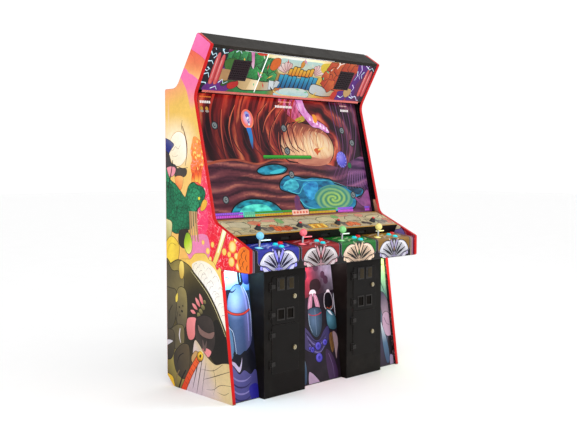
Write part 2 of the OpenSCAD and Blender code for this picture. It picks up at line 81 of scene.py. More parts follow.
def stops(t, pts):
    t = np.clip(t, pts[0][0], pts[-1][0])
    xs = [p[0] for p in pts]
    return np.stack([np.interp(t, xs, [p[1][k] for p in pts]) for k in range(3)], -1)


def grad(p0, p1, *pts):
    """colour along the line p0-p1; pts are (t, colour)"""
    d = np.array(p1, float) - np.array(p0, float); L = float(d @ d)
    return lambda x, y: stops(((x - p0[0]) * d[0] + (y - p0[1]) * d[1]) / L, pts)


def radial(c, rx, ry, *pts):
    return lambda x, y: stops(np.hypot((x - c[0]) / rx, (y - c[1]) / ry), pts)


def mottled(fn, amp, scale, seed=3):
    f0 = flat(fn)
    def f(x, y):
        k = 1 + amp * (fbm(x / scale, y / scale, seed) - 0.5) * 2
        return f0(x, y) * k[..., None]
    return f


def flat(c):
    if callable(c):
        return c
    c = np.array(c, float)
    return lambda x, y: np.broadcast_to(c, np.shape(x) + (3,)).copy()


# ------------------------------------------------------------------ outlines and strokes in a plane
def smooth(pts, n=6, closed=True):
    P = np.array(pts, float); N = len(P); out = []
    for i in range(N if closed else N - 1):
        if closed:
            a, b, c, d = P[(i - 1) % N], P[i], P[(i + 1) % N], P[(i + 2) % N]
        else:
            a, b, c, d = P[max(i - 1, 0)], P[i], P[i + 1], P[min(i + 2, N - 1)]
        for k in range(n):
            t = k / n
            out.append(0.5 * ((2 * b) + (c - a) * t + (2 * a - 5 * b + 4 * c - d) * t * t + (3 * b - a - 3 * c + d) * t ** 3))
    if not closed:
        out.append(P[-1])
    return np.array(out)


def ell(cx, cy, rx, ry, rot=0.0, n=28):
    t = np.linspace(0, 2 * np.pi, n, endpoint=False); a = math.radians(rot)
    x = rx * np.cos(t); y = ry * np.sin(t)
    return np.stack([cx + x * math.cos(a) - y * math.sin(a), cy + x * math.sin(a) + y * math.cos(a)], -1)


def rrect(x0, y0, x1, y1, r, n=5):
    out = []
    for cx, cy, a0 in ((x1 - r, y1 - r, 0), (x0 + r, y1 - r, 90), (x0 + r, y0 + r, 180), (x1 - r, y0 + r, 270)):
        for k in range(n + 1):
            a = math.radians(a0 + 90 * k / n)
            out.append((cx + r * math.cos(a), cy + r * math.sin(a)))
    return np.array(out)


def grown(pts, w):
    P = np.array(pts, float)
    area = 0.5 * np.sum(P[:, 0] * np.roll(P[:, 1], -1) - np.roll(P[:, 0], -1) * P[:, 1])
    d = np.roll(P, -1, 0) - np.roll(P, 1, 0)
    L = np.maximum(np.hypot(d[:, 0], d[:, 1]), 1e-6)
    nrm = np.stack([d[:, 1], -d[:, 0]], -1) / L[:, None]
    return P + nrm * (w if area > 0 else -w)


def ribbon(pts, w0, w1=None, wm=None, n=5):
    """tapered brush stroke along a smooth open line"""
    P = smooth(pts, n, False); w1 = w0 if w1 is None else w1
    t = np.linspace(0, 1, len(P))
    w = w0 + (w1 - w0) * t if wm is None else np.interp(t, [0, 0.5, 1], [w0, wm, w1])
    d = np.gradient(P, axis=0); L = np.maximum(np.hypot(d[:, 0], d[:, 1]), 1e-6)
    nrm = np.stack([-d[:, 1], d[:, 0]], -1) / L[:, None] * (w / 2)[:, None]
    return np.concatenate([P + nrm, (P - nrm)[::-1]])


class Art:
    """Layered flat shapes, each with its colour function, cut into one conforming mesh."""

    def __init__(self, ground, fx=(0, 0, 0), glow=0.0):
        self.layers = [(None, flat(ground), fx, glow)]

    def add(self, pts, colour, fx=(0, 0, 0), glow=0.0, ink=None, inkc=(0.004, 0.004, 0.004)):
        pts = np.array(pts, float)
        if ink:
            self.layers.append((grown(pts, ink), flat(inkc), (0, 0, 0), 0.0))
        self.layers.append((pts, flat(colour), fx, glow))
        return self

    def line(self, pts, w0, colour, w1=None, wm=None, fx=(0, 0, 0), glow=0.0, n=5):
        return self.add(ribbon(pts, w0, w1, wm, n), colour, fx, glow)


def inside(poly, P):
    x, y = P[:, 0], P[:, 1]; c = np.zeros(len(P), bool); n = len(poly)
    for i in range(n):
        x0, y0 = poly[i]; x1, y1 = poly[(i + 1) % n]
        m = (y0 > y) != (y1 > y)
        if m.any() and y1 != y0:
            c ^= m & (x < (x1 - x0) * (y - y0) / (y1 - y0) + x0)
    return c


def winding(poly, P):
    """points inside the outline, counted by winding so that overlapping strokes stay filled"""
    w = np.zeros(len(P), int)
    lo, hi = poly.min(0), poly.max(0)
    idx = np.nonzero((P[:, 0] >= lo[0]) & (P[:, 0] <= hi[0]) & (P[:, 1] >= lo[1]) & (P[:, 1] <= hi[1]))[0]
    if not len(idx):
        return w != 0
    x = P[idx, 0]; y = P[idx, 1]; c = np.zeros(len(idx), int); n = len(poly)
    for i in range(n):
        x0, y0 = poly[i]; x1, y1 = poly[(i + 1) % n]
        if y0 == y1:
            continue
        up = (y0 <= y) & (y1 > y); dn = (y1 <= y) & (y0 > y)
        cr = x < (x1 - x0) * (y - y0) / (y1 - y0) + x0
        c += (up & cr).astype(int) - (dn & cr).astype(int)
    w[idx] = c
    return w != 0


def cut(outline, holes, arts, step, rows=()):
    """Constrained triangles of every layer outline; returns points, triangles and for each art the layer on top of each triangle."""
    outline = np.array(outline, float)
    holes = [np.array(h, float) for h in holes]
    polys = [outline] + holes
    for art in arts:
        polys += [pts for pts, _c, _f, _g in art.layers if pts is not None]
    V = []; E = []
    for p in polys:
        n = len(p); o = len(V)
        E += [(o + i, o + (i + 1) % n) for i in range(n)]; V += [tuple(q) for q in p]
    for r in rows:
        E.append((len(V), len(V) + 1)); V += [tuple(r[0]), tuple(r[1])]
    if step:
        lo, hi = outline.min(0), outline.max(0)
        gx = np.arange(lo[0] + step * 0.37, hi[0], step); gy = np.arange(lo[1] + step * 0.41, hi[1], step * 0.87)
        G = np.array([(x + (step / 2 if i % 2 else 0), y) for i, y in enumerate(gy) for x in gx])
        G = G + (np.stack([_hash(np.arange(len(G)), 5 + 0 * np.arange(len(G)), 3), _hash(np.arange(len(G)), 9 + 0 * np.arange(len(G)), 7)], -1) - 0.5) * step * 0.35
        G = G[inside(outline, G)]
        V += [tuple(q) for q in G]
    vs, _e, fs, _ov, _oe, _of = delaunay_2d_cdt([Vector(v) for v in V], E, [], 0, 1e-4, False)
    P = np.array([tuple(v) for v in vs]); T = np.array([tuple(f) for f in fs])
    M = P[T].mean(1)
    keep = winding(outline, M)
    for h in holes:
        keep &= ~winding(h, M)
    T = T[keep]; M = M[keep]
    top = np.zeros((len(T), len(arts)), int)
    for k, art in enumerate(arts):
        for j, (pts, _c, _f, _g) in enumerate(art.layers):
            if pts is not None:
                top[winding(pts, M), k] = j
    return P, T.tolist(), top


def paint(art, P, tris, top):
    """corner colours for one side: (n, 3, 4) art and (n, 3, 4) effects"""
    n = len(tris); T = np.array(tris)
    XY = P[T.reshape(-1)].reshape(n, 3, 2)
    col = np.zeros((n, 3, 4)); fx = np.zeros((n, 3, 4)); fx[..., 3] = 1
    for j in np.unique(top):
        m = top == j; _p, f, e, g = art.layers[j]
        x = XY[m][..., 0]; y = XY[m][..., 1]
        col[m, :, :3] = np.clip(f(x, y), 0, 1)
        gl = g(x, y) if callable(g) else g
        col[m, :, 3] = gl
        fx[m, :, :3] = e
    return col, fx


def slab(name, outline, front, to_front, to_back, back=None, holes=(), step=25.0, rows=(), edge=(0.02, 0.02, 0.02)):
    """A thin board or skin whose front (and back) carries the artwork as corner colours, closed round its edges."""
    arts = [front] + ([back] if back else [])
    P, tris, top = cut(outline, list(holes), arts, step, rows)
    tris = [list(t) for t in tris]
    assert all(len(t) == 3 for t in tris), name
    n = len(P)
    A = np.array([to_front(*p) for p in P]) / 1000; B = np.array([to_back(*p) for p in P]) / 1000
    # one winding for every triangle
    T = np.array(tris); a = P[T[:, 0]]; b = P[T[:, 1]]; c = P[T[:, 2]]
    sg = (b[:, 0] - a[:, 0]) * (c[:, 1] - a[:, 1]) - (b[:, 1] - a[:, 1]) * (c[:, 0] - a[:, 0])
    flip = sg < 0; T[flip] = T[flip][:, ::-1]
    keep = np.abs(sg) > 1e-9; T = T[keep]; top = top[keep]
    out_dir = A[T[0, 0]] - B[T[0, 0]]
    nrm = np.cross(A[T[0, 1]] - A[T[0, 0]], A[T[0, 2]] - A[T[0, 0]])
    if nrm @ out_dir < 0:
        T = T[:, ::-1]
    cf, ff = paint(front, P, T, top[:, 0])
    if back:
        cb, fb = paint(back, P, T, top[:, 1])
    else:
        cb = np.zeros_like(cf); cb[..., :3] = edge; fb = np.zeros_like(ff); fb[..., 3] = 1
    count = {}
    for t in T:
        for i in range(3):
            e = (t[i], t[(i + 1) % 3]); count[e] = count.get(e, 0) + 1
    wall = [e for e in count if (e[1], e[0]) not in count]
    faces = [tuple(t) for t in T] + [tuple(t[::-1] + n) for t in T] + [(e[1], e[0], e[0] + n, e[1] + n) for e in wall]
    me = bpy.data.meshes.new(name)
    me.from_pydata([tuple(v) for v in np.concatenate([A, B])], [], [tuple(int(i) for i in f) for f in faces])
    cw = np.zeros((len(wall), 4, 4)); cw[..., :3] = edge; fw = np.zeros((len(wall), 4, 4)); fw[..., 3] = 1
    cor = np.concatenate([cf.reshape(-1, 4), cb[:, ::-1].reshape(-1, 4), cw.reshape(-1, 4)])
    eff = np.concatenate([ff.reshape(-1, 4), fb[:, ::-1].reshape(-1, 4), fw.reshape(-1, 4)])
    for nm, data in (("Art", cor), ("Fx", eff)):
        at = me.color_attributes.new(nm, "FLOAT_COLOR", "CORNER")
        at.data.foreach_set("color", data.astype(np.float32).reshape(-1))
    me.update()
    ob = bpy.data.objects.new(name, me)
    bpy.context.scene.collection.objects.link(ob)
    used = set(int(i) for f in faces for i in f)
    if len(used) < 2 * n:
        import bmesh
        bm = bmesh.new(); bm.from_mesh(me)
        bmesh.ops.delete(bm, geom=[v for v in bm.verts if not v.link_faces], context="VERTS")
        bm.to_mesh(me); bm.free()
    return ob


# ------------------------------------------------------------------ node helpers
class Mat:
    def __init__(self, name):
        self.m = bpy.data.materials.new(name); self.m.use_nodes = True
        self.t = self.m.node_tree; self.t.nodes.clear()
        self.out = self.t.nodes.new("ShaderNodeOutputMaterial")
        self.p = self.t.nodes.new("ShaderNodeBsdfPrincipled")
        self.t.links.new(self.p.outputs[0], self.out.inputs[0])
        self.tc = self.t.nodes.new("ShaderNodeTexCoord")
        self.obj = self.tc.outputs["Object"]

    def put(self, sock, v):
        if hasattr(v, "is_linked") or hasattr(v, "links"):
            self.t.links.new(v, sock)
        elif v is not None:
            sock.default_value = v

    def node(self, kind, ins=None, out=0, **props):
        n = self.t.nodes.new(kind)
        for k, v in props.items():
            setattr(n, k, v)
        for k, v in (ins or {}).items():
            self.put(n.inputs[k], v)
        return n.outputs[out]

    def math(self, op, a, b=None, c=None, clamp=False):
        n = self.t.nodes.new("ShaderNodeMath"); n.operation = op; n.use_clamp = clamp
        self.put(n.inputs[0], a)
        if b is not None: self.put(n.inputs[1], b)
        if c is not None: self.put(n.inputs[2], c)
        return n.outputs[0]

    def vmath(self, op, a, b=None, out=0):
        n = self.t.nodes.new("ShaderNodeVectorMath"); n.operation = op
        self.put(n.inputs[0], a)
        if b is not None: self.put(n.inputs[1], b)
        return n.outputs["Value"] if op in ("LENGTH", "DISTANCE", "DOT_PRODUCT") else n.outputs[0]

    def mix(self, f, a, b, blend="MIX"):
        n = self.t.nodes.new("ShaderNodeMix"); n.data_type = "RGBA"; n.blend_type = blend; n.clamp_factor = True
        self.put(n.inputs[0], f)
        self.put(n.inputs[6], rgba(a) if isinstance(a, np.ndarray) else a)
        self.put(n.inputs[7], rgba(b) if isinstance(b, np.ndarray) else b)
        return n.outputs[2]

    def fmix(self, f, a, b):
        n = self.t.nodes.new("ShaderNodeMix"); n.data_type = "FLOAT"; n.clamp_factor = True
        self.put(n.inputs[0], f); self.put(n.inputs[2], a); self.put(n.inputs[3], b)
        return n.outputs[0]

    def noise(self, scale, detail=3.0, rough=0.55, dist=0.0, vec=None, out="Fac"):
        n = self.t.nodes.new("ShaderNodeTexNoise")
        self.put(n.inputs["Vector"], vec if vec is not None else self.obj)
        n.inputs["Scale"].default_value = scale; n.inputs["Detail"].default_value = detail
        n.inputs["Roughness"].default_value = rough; n.inputs["Distortion"].default_value = dist
        return n.outputs[0] if out == "Fac" else n.outputs[1]

    def voro(self, scale, feature="F1", vec=None, out=0, rand=1.0):
        n = self.t.nodes.new("ShaderNodeTexVoronoi"); n.feature = feature
        self.put(n.inputs["Vector"], vec if vec is not None else self.obj)
        n.inputs["Scale"].default_value = scale; n.inputs["Randomness"].default_value = rand
        return n.outputs[out]

    def remap(self, v, a, b, c=0.0, d=1.0, smooth=False):
        n = self.t.nodes.new("ShaderNodeMapRange"); n.clamp = True
        if smooth: n.interpolation_type = "SMOOTHSTEP"
        self.put(n.inputs[0], v)
        for i, x in enumerate((a, b, c, d)): self.put(n.inputs[i + 1], x)
        return n.outputs[0]

    def ramp(self, f, pts, mode="LINEAR"):
        n = self.t.nodes.new("ShaderNodeValToRGB"); cr = n.color_ramp; cr.interpolation = mode
        while len(cr.elements) < len(pts): cr.elements.new(0.5)
        for e, (p, c) in zip(cr.elements, pts):
            e.position = p; e.color = rgba(c)
        self.put(n.inputs[0], f)
        return n.outputs[0]

    def attr(self, name):
        n = self.t.nodes.new("ShaderNodeAttribute"); n.attribute_name = name
        return n.outputs["Color"], n.outputs["Alpha"]

    def sep(self, v=None):
        n = self.t.nodes.new("ShaderNodeSeparateXYZ"); self.put(n.inputs[0], self.obj if v is None else v)
        return n.outputs[0], n.outputs[1], n.outputs[2]

    def warp(self, amount, scale, vec=None):
        c = self.noise(scale, 2.0, 0.5, 0.0, vec, "Color")
        d = self.vmath("SUBTRACT", c, (0.5, 0.5, 0.5))
        s = self.t.nodes.new("ShaderNodeVectorMath"); s.operation = "SCALE"
        self.put(s.inputs[0], d); s.inputs["Scale"].default_value = amount
        return self.vmath("ADD", vec if vec is not None else self.obj, s.outputs[0])

    def bump(self, height, strength, dist=0.001, chain=None):
        n = self.t.nodes.new("ShaderNodeBump")
        n.inputs["Strength"].default_value = strength; n.inputs["Distance"].default_value = dist
        self.put(n.inputs["Height"], height)
        if chain is not None: self.put(n.inputs["Normal"], chain)
        return n.outputs[0]

    def edge(self, radius=0.0016):
        """0 on flat faces, 1 on outer and inner edges"""
        n = self.t.nodes.new("ShaderNodeBevel"); n.samples = 4; n.inputs["Radius"].default_value = radius
        g = self.t.nodes.new("ShaderNodeNewGeometry")
        d = self.vmath("DOT_PRODUCT", n.outputs[0], g.outputs["Normal"])
        return self.remap(d, 0.995, 0.86), n.outputs[0]

    def set(self, color=None, rough=None, metal=None, spec=None, coat=None, coat_rough=None, normal=None, emit=None, estr=None,
            trans=None, ior=None, sheen=None, sss=None, sssr=None):
        i = self.p.inputs
        for k, v in (("Base Color", color), ("Roughness", rough), ("Metallic", metal), ("Specular IOR Level", spec),
                     ("Coat Weight", coat), ("Coat Roughness", coat_rough), ("Normal", normal), ("Emission Color", emit),
                     ("Emission Strength", estr), ("Transmission Weight", trans), ("IOR", ior), ("Sheen Weight", sheen),
                     ("Subsurface Weight", sss), ("Subsurface Scale", sssr)):
            if v is not None:
                self.put(i[k], rgba(v) if isinstance(v, np.ndarray) else v)
        return self.m


def paint_on(ob, mat):
    """the material on every slot of this object, linked to the object"""
    if not ob.material_slots:
        ob.data.materials.append(None)
    for s in ob.material_slots:
        s.link = "OBJECT"; s.material = mat
    return ob


# ------------------------------------------------------------------ the cabinet's outline and frames, in millimetres
PROF = np.array([(-221, 0), (-127.5, 683), (-355, 681), (-355, 799), (-70, 926), (94, 1576), (-57, 1827), (57, 1900),
                 (250, 1624), (355, 1625), (355, 52), (296, 0)], float)
RAD = [0, 14, 12, 10, 60, 85, 10, 15, 70, 10, 4, 0]
NP = len(PROF)


def unit(v):
    return v / np.linalg.norm(v)


def rn(a, b):
    u = unit(b - a); return np.array([u[1], -u[0]])


def moved(a, b, c, d1, d2):
    n = rn(a, b); m = rn(b, c); k = n[0] * m[1] - n[1] * m[0]
    return b + np.array([(d2 * -n[1] + d1 * m[1]) / k, (d2 * n[0] - d1 * m[0]) / k])


def inset(d, db):
    return [moved(PROF[(i - 1) % NP], PROF[i], PROF[(i + 1) % NP], db if (i - 1) % NP == NP - 1 else d, db if i == NP - 1 else d)
            for i in range(NP)]


def arc_pts(a, b, c, r, n):
    if r <= 0.01:
        return [b]
    u = unit(a - b); v = unit(c - b); h = math.acos(float(u @ v)) / 2; t = r / math.tan(h)
    o = b + unit(u + v) * (r / math.sin(h)); p = b + u * t - o; q = b + v * t - o
    a0 = math.atan2(p[1], p[0]); a1 = math.atan2(q[1], q[0]); da = (a1 - a0 + 3 * math.pi) % (2 * math.pi) - math.pi
    return [o + r * np.array([math.cos(a0 + da * i / n), math.sin(a0 + da * i / n)]) for i in range(n + 1)]


def turn(i):
    u = PROF[i] - PROF[(i - 1) % NP]; v = PROF[(i + 1) % NP] - PROF[i]
    return 1 if u[0] * v[1] - u[1] * v[0] < 0 else -1


def outline(d, db):
    P = inset(d, db); out = []
    for i in range(NP):
        out += arc_pts(P[(i - 1) % NP], P[i], P[(i + 1) % NP], 0 if RAD[i] == 0 else max(1, RAD[i] - turn(i) * d), 12 if RAD[i] > 40 else 5)
    return np.array(out)


def frame_at(o, a):
    ca, sa = math.cos(a), math.sin(a)
    return lambda x, y, z: (x, o[0] + y * ca - z * sa, o[1] + y * sa + z * ca)


pB, pC, pA = PROF[6], PROF[5], PROF[7]
mar_v = unit(pC - pB); mar_n = rn(pC, pB); mar_a = math.atan2(-mar_v[1], -mar_v[0]); mar_o = pB + mar_n * 3
on_marquee = frame_at(mar_o, mar_a)
bez_lo = np.array([-41.0, 928.0]); bez_hi = np.array([111.0, 1600.0]); bez_len = float(np.linalg.norm(bez_hi - bez_lo))
on_bezel = frame_at(bez_lo, math.atan2(bez_hi[1] - bez_lo[1], bez_hi[0] - bez_lo[0]))
shelf_lo = np.array([-219.0, 856.0]); shelf_hi = np.array([-46.5, 927.718])
on_shelf = frame_at(shelf_lo, math.atan2(shelf_hi[1] - shelf_lo[1], shelf_hi[0] - shelf_lo[0]))
shelf_len = float(np.linalg.norm(shelf_hi - shelf_lo)); shelf_cos = (shelf_hi[0] - shelf_lo[0]) / shelf_len
DA = math.radians(7.2)


def deck_z(y):
    return 810 + (y + 199) * math.tan(DA)


INK = C(14, 10, 10); WHITE = C(250, 248, 244)
BLACKF = C(16, 15, 15)


def clip_closed(pts):
    return pts


# ------------------------------------------------------------------ side artwork, plane (y, z)
def side_outer(seed=0):
    pink, orange, sand, gold, cream = C(236, 112, 172), C(228, 122, 84), C(232, 196, 112), C(236, 178, 84), C(250, 238, 214)
    def sky(x, y):
        base = stops(y + 0.25 * x, [(650, gold), (1100, C(236, 190, 110)), (1330, C(236, 194, 104)), (1600, C(230, 186, 90)), (1700, C(236, 160, 110)), (1800, pink)])
        g = np.clip(1.12 - np.hypot((x - 262) / 200, (y - 1322) / 150), 0, 1)[..., None]
        k = (fbm(x / 60, y / 60, 5) - 0.5)[..., None] * 0.10
        return (base * (1 - g) + cream * g) * (1 + k)
    A = Art(sky)
    # evening clouds at the top
    A.add(smooth([(-70, 1840), (60, 1915), (140, 1850), (126, 1822), (96, 1806), (60, 1788), (24, 1768), (-4, 1746), (-50, 1770)]), grad((0, 1900), (0, 1750), (0, C(236, 116, 176)), (1, C(232, 100, 156))))
    A.add(smooth([(160, 1850), (126, 1822), (96, 1806), (60, 1788), (24, 1768), (-6, 1744), (-14, 1700), (26, 1664), (58, 1656), (84, 1672), (106, 1684), (134, 1694), (160, 1716), (196, 1726), (210, 1780)]),
          mottled(grad((60, 1800), (90, 1664), (0, C(226, 96, 74)), (0.45, C(230, 122, 82)), (0.75, C(234, 150, 96)), (1, C(236, 178, 120))), 0.12, 40), ink=2.2, inkc=C(204, 84, 76))
    A.add(smooth([(210, 1730), (160, 1718), (134, 1695), (106, 1685), (84, 1673), (58, 1657), (44, 1640), (58, 1590), (84, 1530), (104, 1486), (122, 1500), (140, 1560), (158, 1610), (186, 1650), (216, 1690)]),
          grad((100, 1700), (112, 1500), (0, C(238, 112, 168)), (0.4, C(238, 116, 166)), (0.72, C(238, 150, 146)), (1, C(232, 186, 100))))
    A.line([(150, 1806), (110, 1790), (84, 1762), (80, 1724)], 2.4, C(206, 76, 66), 0.6)
    A.line([(40, 1770), (64, 1740), (66, 1706), (88, 1680)], 2.0, C(214, 104, 78), 0.5)
    # bright rings of light
    A.add(ell(236, 1300, 84, 92, 12), grad((160, 1380), (320, 1220), (0, C(252, 246, 232)), (1, C(240, 222, 186))), ink=3, inkc=C(206, 160, 96))
    A.line([(196, 1420), (176, 1380), (160, 1330), (158, 1270), (172, 1210)], 5, C(96, 52, 30), 3, 9)
    A.line([(196, 1452), (204, 1420), (196, 1396)], 2, C(80, 44, 30), 3, 5)
    A.line([(215, 1322), (236, 1300), (262, 1312), (288, 1290), (306, 1306)], 2, C(120, 84, 60), 1.5)
    A.line([(240, 1268), (262, 1258), (290, 1264)], 1.8, C(120, 84, 60), 1)
    # far rocks at the rear edge
    A.add(smooth([(372, 1350), (330, 1352), (296, 1338), (276, 1322), (300, 1300), (322, 1274), (330, 1240), (372, 1232)]), grad((290, 1340), (360, 1250), (0, C(96, 96, 130)), (0.35, C(40, 48, 128)), (1, C(26, 30, 84))), ink=2.5)
    A.add(smooth([(372, 1290), (336, 1282), (316, 1262), (300, 1226), (262, 1212), (252, 1192), (300, 1176), (372, 1178)]), mottled(C(58, 54, 58), 0.35, 14, 8), ink=2.5)
    A.line([(150, 1200), (200, 1196), (250, 1206), (300, 1200)], 3, C(70, 58, 48), 1.5, 5)
    A.add(smooth([(160, 1188), (200, 1196), (262, 1190), (266, 1150), (220, 1146), (170, 1158)]), mottled(C(70, 62, 56), 0.3, 12, 4), ink=2)
    A.add(smooth([(262, 1196), (300, 1206), (344, 1196), (338, 1160), (296, 1152), (270, 1168)]), C(232, 146, 160), ink=2)
    A.add(smooth([(196, 1150), (262, 1150), (258, 1110), (236, 1076), (204, 1096)]), grad((200, 1150), (240, 1080), (0, C(244, 186, 110)), (1, C(238, 120, 60))), ink=2, inkc=C(130, 50, 30))
    # speckled fire column along the screen side
    A.add(smooth([(58, 1352), (96, 1362), (112, 1330), (124, 1286), (112, 1240), (126, 1206), (106, 1150), (60, 1100), (-10, 1090), (-40, 1120), (20, 1300)]),
          mottled(grad((0, 1350), (0, 1110), (0, C(238, 150, 70)), (0.5, C(240, 120, 50)), (1, C(226, 70, 42))), 0.22, 14, 6), fx=(0.55, 0, 0))
    for i in range(34):
        a = _hash(np.array(i), np.array(3), 2); b = _hash(np.array(i), np.array(7), 4); c = _hash(np.array(i), np.array(1), 9)
        x = 14 + 92 * a; y = 1150 + 190 * b
        A.add(ell(x, y, 4 + 7 * c, 3 + 5 * c, 60 * b, 9), C(250, 206, 110) if i % 3 else C(252, 120, 44))
    for x, y, h, w in ((40, 1120, 92, 34), (74, 1128, 74, 30), (8, 1108, 76, 30), (104, 1118, 58, 26)):
        A.add(smooth([(x - w / 2, y), (x - w * .42, y + h * .4), (x - w * .1, y + h), (x + w * .1, y + h * .62), (x + w * .32, y + h * .8), (x + w * .5, y + h * .25), (x + w * .4, y)]),
              grad((x, y), (x, y + h), (0, C(250, 190, 80)), (0.5, C(240, 100, 40)), (1, C(214, 50, 34))), ink=1.6, inkc=C(150, 30, 24))
    # red field with squiggles in front
    A.add(np.array([(-380, 690), (-380, 812), (-84, 940), (-60, 980), (-20, 1180), (-2, 1240), (26, 1180), (40, 1100), (70, 1040), (78, 960), (70, 880), (60, 800), (20, 700), (-120, 640), (-160, 660)]),
          mottled(grad((-340, 740), (60, 1100), (0, C(226, 28, 40)), (0.5, C(232, 30, 52)), (0.8, C(236, 48, 92)), (1, C(238, 70, 90))), 0.10, 50, 2), fx=(1, 0, 0))
    A.add(smooth([(0, 1010), (30, 1034), (62, 1020), (84, 960), (78, 900), (62, 860), (20, 850), (-16, 880), (-26, 950)]), mottled(C(238, 56, 104), 0.12, 26, 9), fx=(1, 0, 0))
    A.add(smooth([(-22, 842), (30, 856), (80, 846), (150, 834), (176, 776), (140, 716), (70, 700), (0, 716), (-40, 760)]), mottled(C(228, 128, 172), 0.12, 30, 7), fx=(0.6, 0, 0))
    # leaves: big rounded masses
    leaf = lambda p, k=1.0: mottled(grad((60, 860), (300, 1230), (0, C(16, 92, 62)), (0.5, C(26, 122, 80)), (1, C(40, 138, 92))), 0.28 * k, 22, 12)
    A.add(smooth([(0, 1062), (20, 1096), (66, 1108), (104, 1122), (144, 1100), (176, 1040), (214, 1070), (262, 1108), (318, 1140), (372, 1226), (372, 1040), (372, 900), (330, 872), (262, 846), (196, 862), (120, 884), (76, 930), (66, 984), (30, 1010)]),
          leaf(0), fx=(0, 0, 1), ink=4, inkc=C(22, 40, 26))
    A.add(smooth([(40, 1060), (74, 1092), (120, 1090), (150, 1050), (138, 996), (104, 960), (70, 984), (48, 1020)]), mottled(C(44, 140, 96), 0.2, 18, 3), fx=(0, 0, 1), ink=2, inkc=C(10, 56, 38))
    A.add(smooth([(176, 1040), (222, 1062), (262, 1040), (276, 980), (250, 900), (196, 880), (160, 930), (156, 990)]), mottled(C(28, 118, 80), 0.25, 18, 5), fx=(0, 0, 1), ink=2, inkc=C(8, 46, 34))
    A.add(smooth([(290, 1096), (330, 1118), (372, 1110), (372, 950), (330, 930), (296, 980), (280, 1040)]), mottled(C(22, 104, 70), 0.25, 18, 15), fx=(0, 0, 1), ink=2, inkc=C(8, 46, 34))
    A.add(ell(52, 1040, 9, 8), C(232, 214, 60), ink=2, inkc=C(60, 110, 40))
    A.add(smooth([(-16, 1024), (6, 1036), (30, 1014), (40, 980), (18, 978), (-6, 996)]), C(228, 172, 60), ink=2)
    A.line([(286, 1240), (300, 1180), (320, 1120), (336, 1060)], 5, C(20, 40, 30), 2, 9)
    # stems
    for x0, x1 in ((78, 60), (96, 84), (116, 108), (134, 132)):
        A.line([(x0, 970), (x0 - 4, 900), (x1, 812)], 16, C(176, 134, 92) if x0 % 4 else C(196, 156, 108), 9, 14)
        A.line([(x0 + 7, 966), (x0 + 4, 900), (x1 + 6, 816)], 2.6, INK, 1.5)
    A.add(smooth([(150, 874), (196, 872), (232, 860), (240, 800), (206, 770), (170, 776), (150, 820)]), mottled(C(46, 42, 34), 0.3, 20, 3))
    A.add(smooth([(168, 850), (188, 800), (176, 760), (146, 742), (122, 762), (118, 806), (138, 848)]), grad((120, 760), (180, 850), (0, C(236, 226, 120)), (0.5, C(176, 206, 40)), (1, C(110, 150, 40))), ink=3, inkc=C(44, 44, 20))
    A.add(smooth([(300, 900), (336, 916), (372, 910), (372, 780), (330, 790), (306, 840)]), grad((300, 900), (370, 800), (0, C(214, 206, 150)), (1, C(160, 150, 70))), ink=3, inkc=C(60, 52, 24))
    A.add(smooth([(232, 770), (262, 810), (306, 826), (346, 800), (372, 750), (372, 600), (330, 596), (290, 620), (250, 690)]), mottled(grad((232, 700), (372, 720), (0, C(222, 180, 60)), (0.6, C(240, 210, 70)), (1, C(226, 180, 40))), 0.12, 30, 4), ink=3.5, inkc=C(90, 66, 20))
    A.line([(262, 780), (300, 790), (330, 770), (352, 720)], 3, C(150, 110, 30), 1)
    # warm sparks over the nose
    A.line([(-176, 926), (-150, 862), (-108, 770), (-70, 706)], 40, C(150, 110, 40), 34)
    A.line([(-174, 922), (-150, 864), (-108, 772), (-72, 708)], 33, grad((-170, 900), (-70, 720), (0, C(250, 240, 196)), (0.5, C(244, 226, 150)), (1, C(240, 200, 100))), 28)
    A.line([(-164, 896), (-140, 842), (-104, 768)], 9, C(255, 252, 230), 7)
    for x, y, r in ((-222, 806, 25), (-214, 730, 20), (-252, 762, 14), (-268, 712, 17), (-196, 766, 12), (-156, 776, 15), (-244, 842, 9), (-60, 806, 12), (-20, 770, 14), (20, 812, 10), (-40, 730, 11)):
        A.add(ell(x, y, r * 1.25, r * 1.3, 20, 14), C(240, 150, 60)); A.add(ell(x, y, r, r * 1.05, 0, 14), radial((x, y), r, r, (0, C(250, 244, 196)), (1, C(238, 206, 104))))
    A.add(smooth([(-380, 830), (-330, 812), (-290, 802), (-268, 774), (-262, 740), (-276, 700), (-290, 670), (-380, 670)]), mottled(C(232, 116, 30), 0.14, 26, 3), ink=4, inkc=C(226, 150, 60))
    for p in (((-306, 790), (-290, 770), (-300, 752)), ((-330, 776), (-322, 756), (-334, 740)), ((-284, 752), (-276, 738), (-282, 722)), ((-312, 742), (-300, 728), (-308, 706)), ((-338, 722), (-330, 706), (-338, 694)), ((-322, 800), (-312, 790), (-304, 800)), ((-292, 716), (-284, 704), (-292, 694))):
        A.line(list(p), 2.5, C(110, 44, 14), 2, 6)
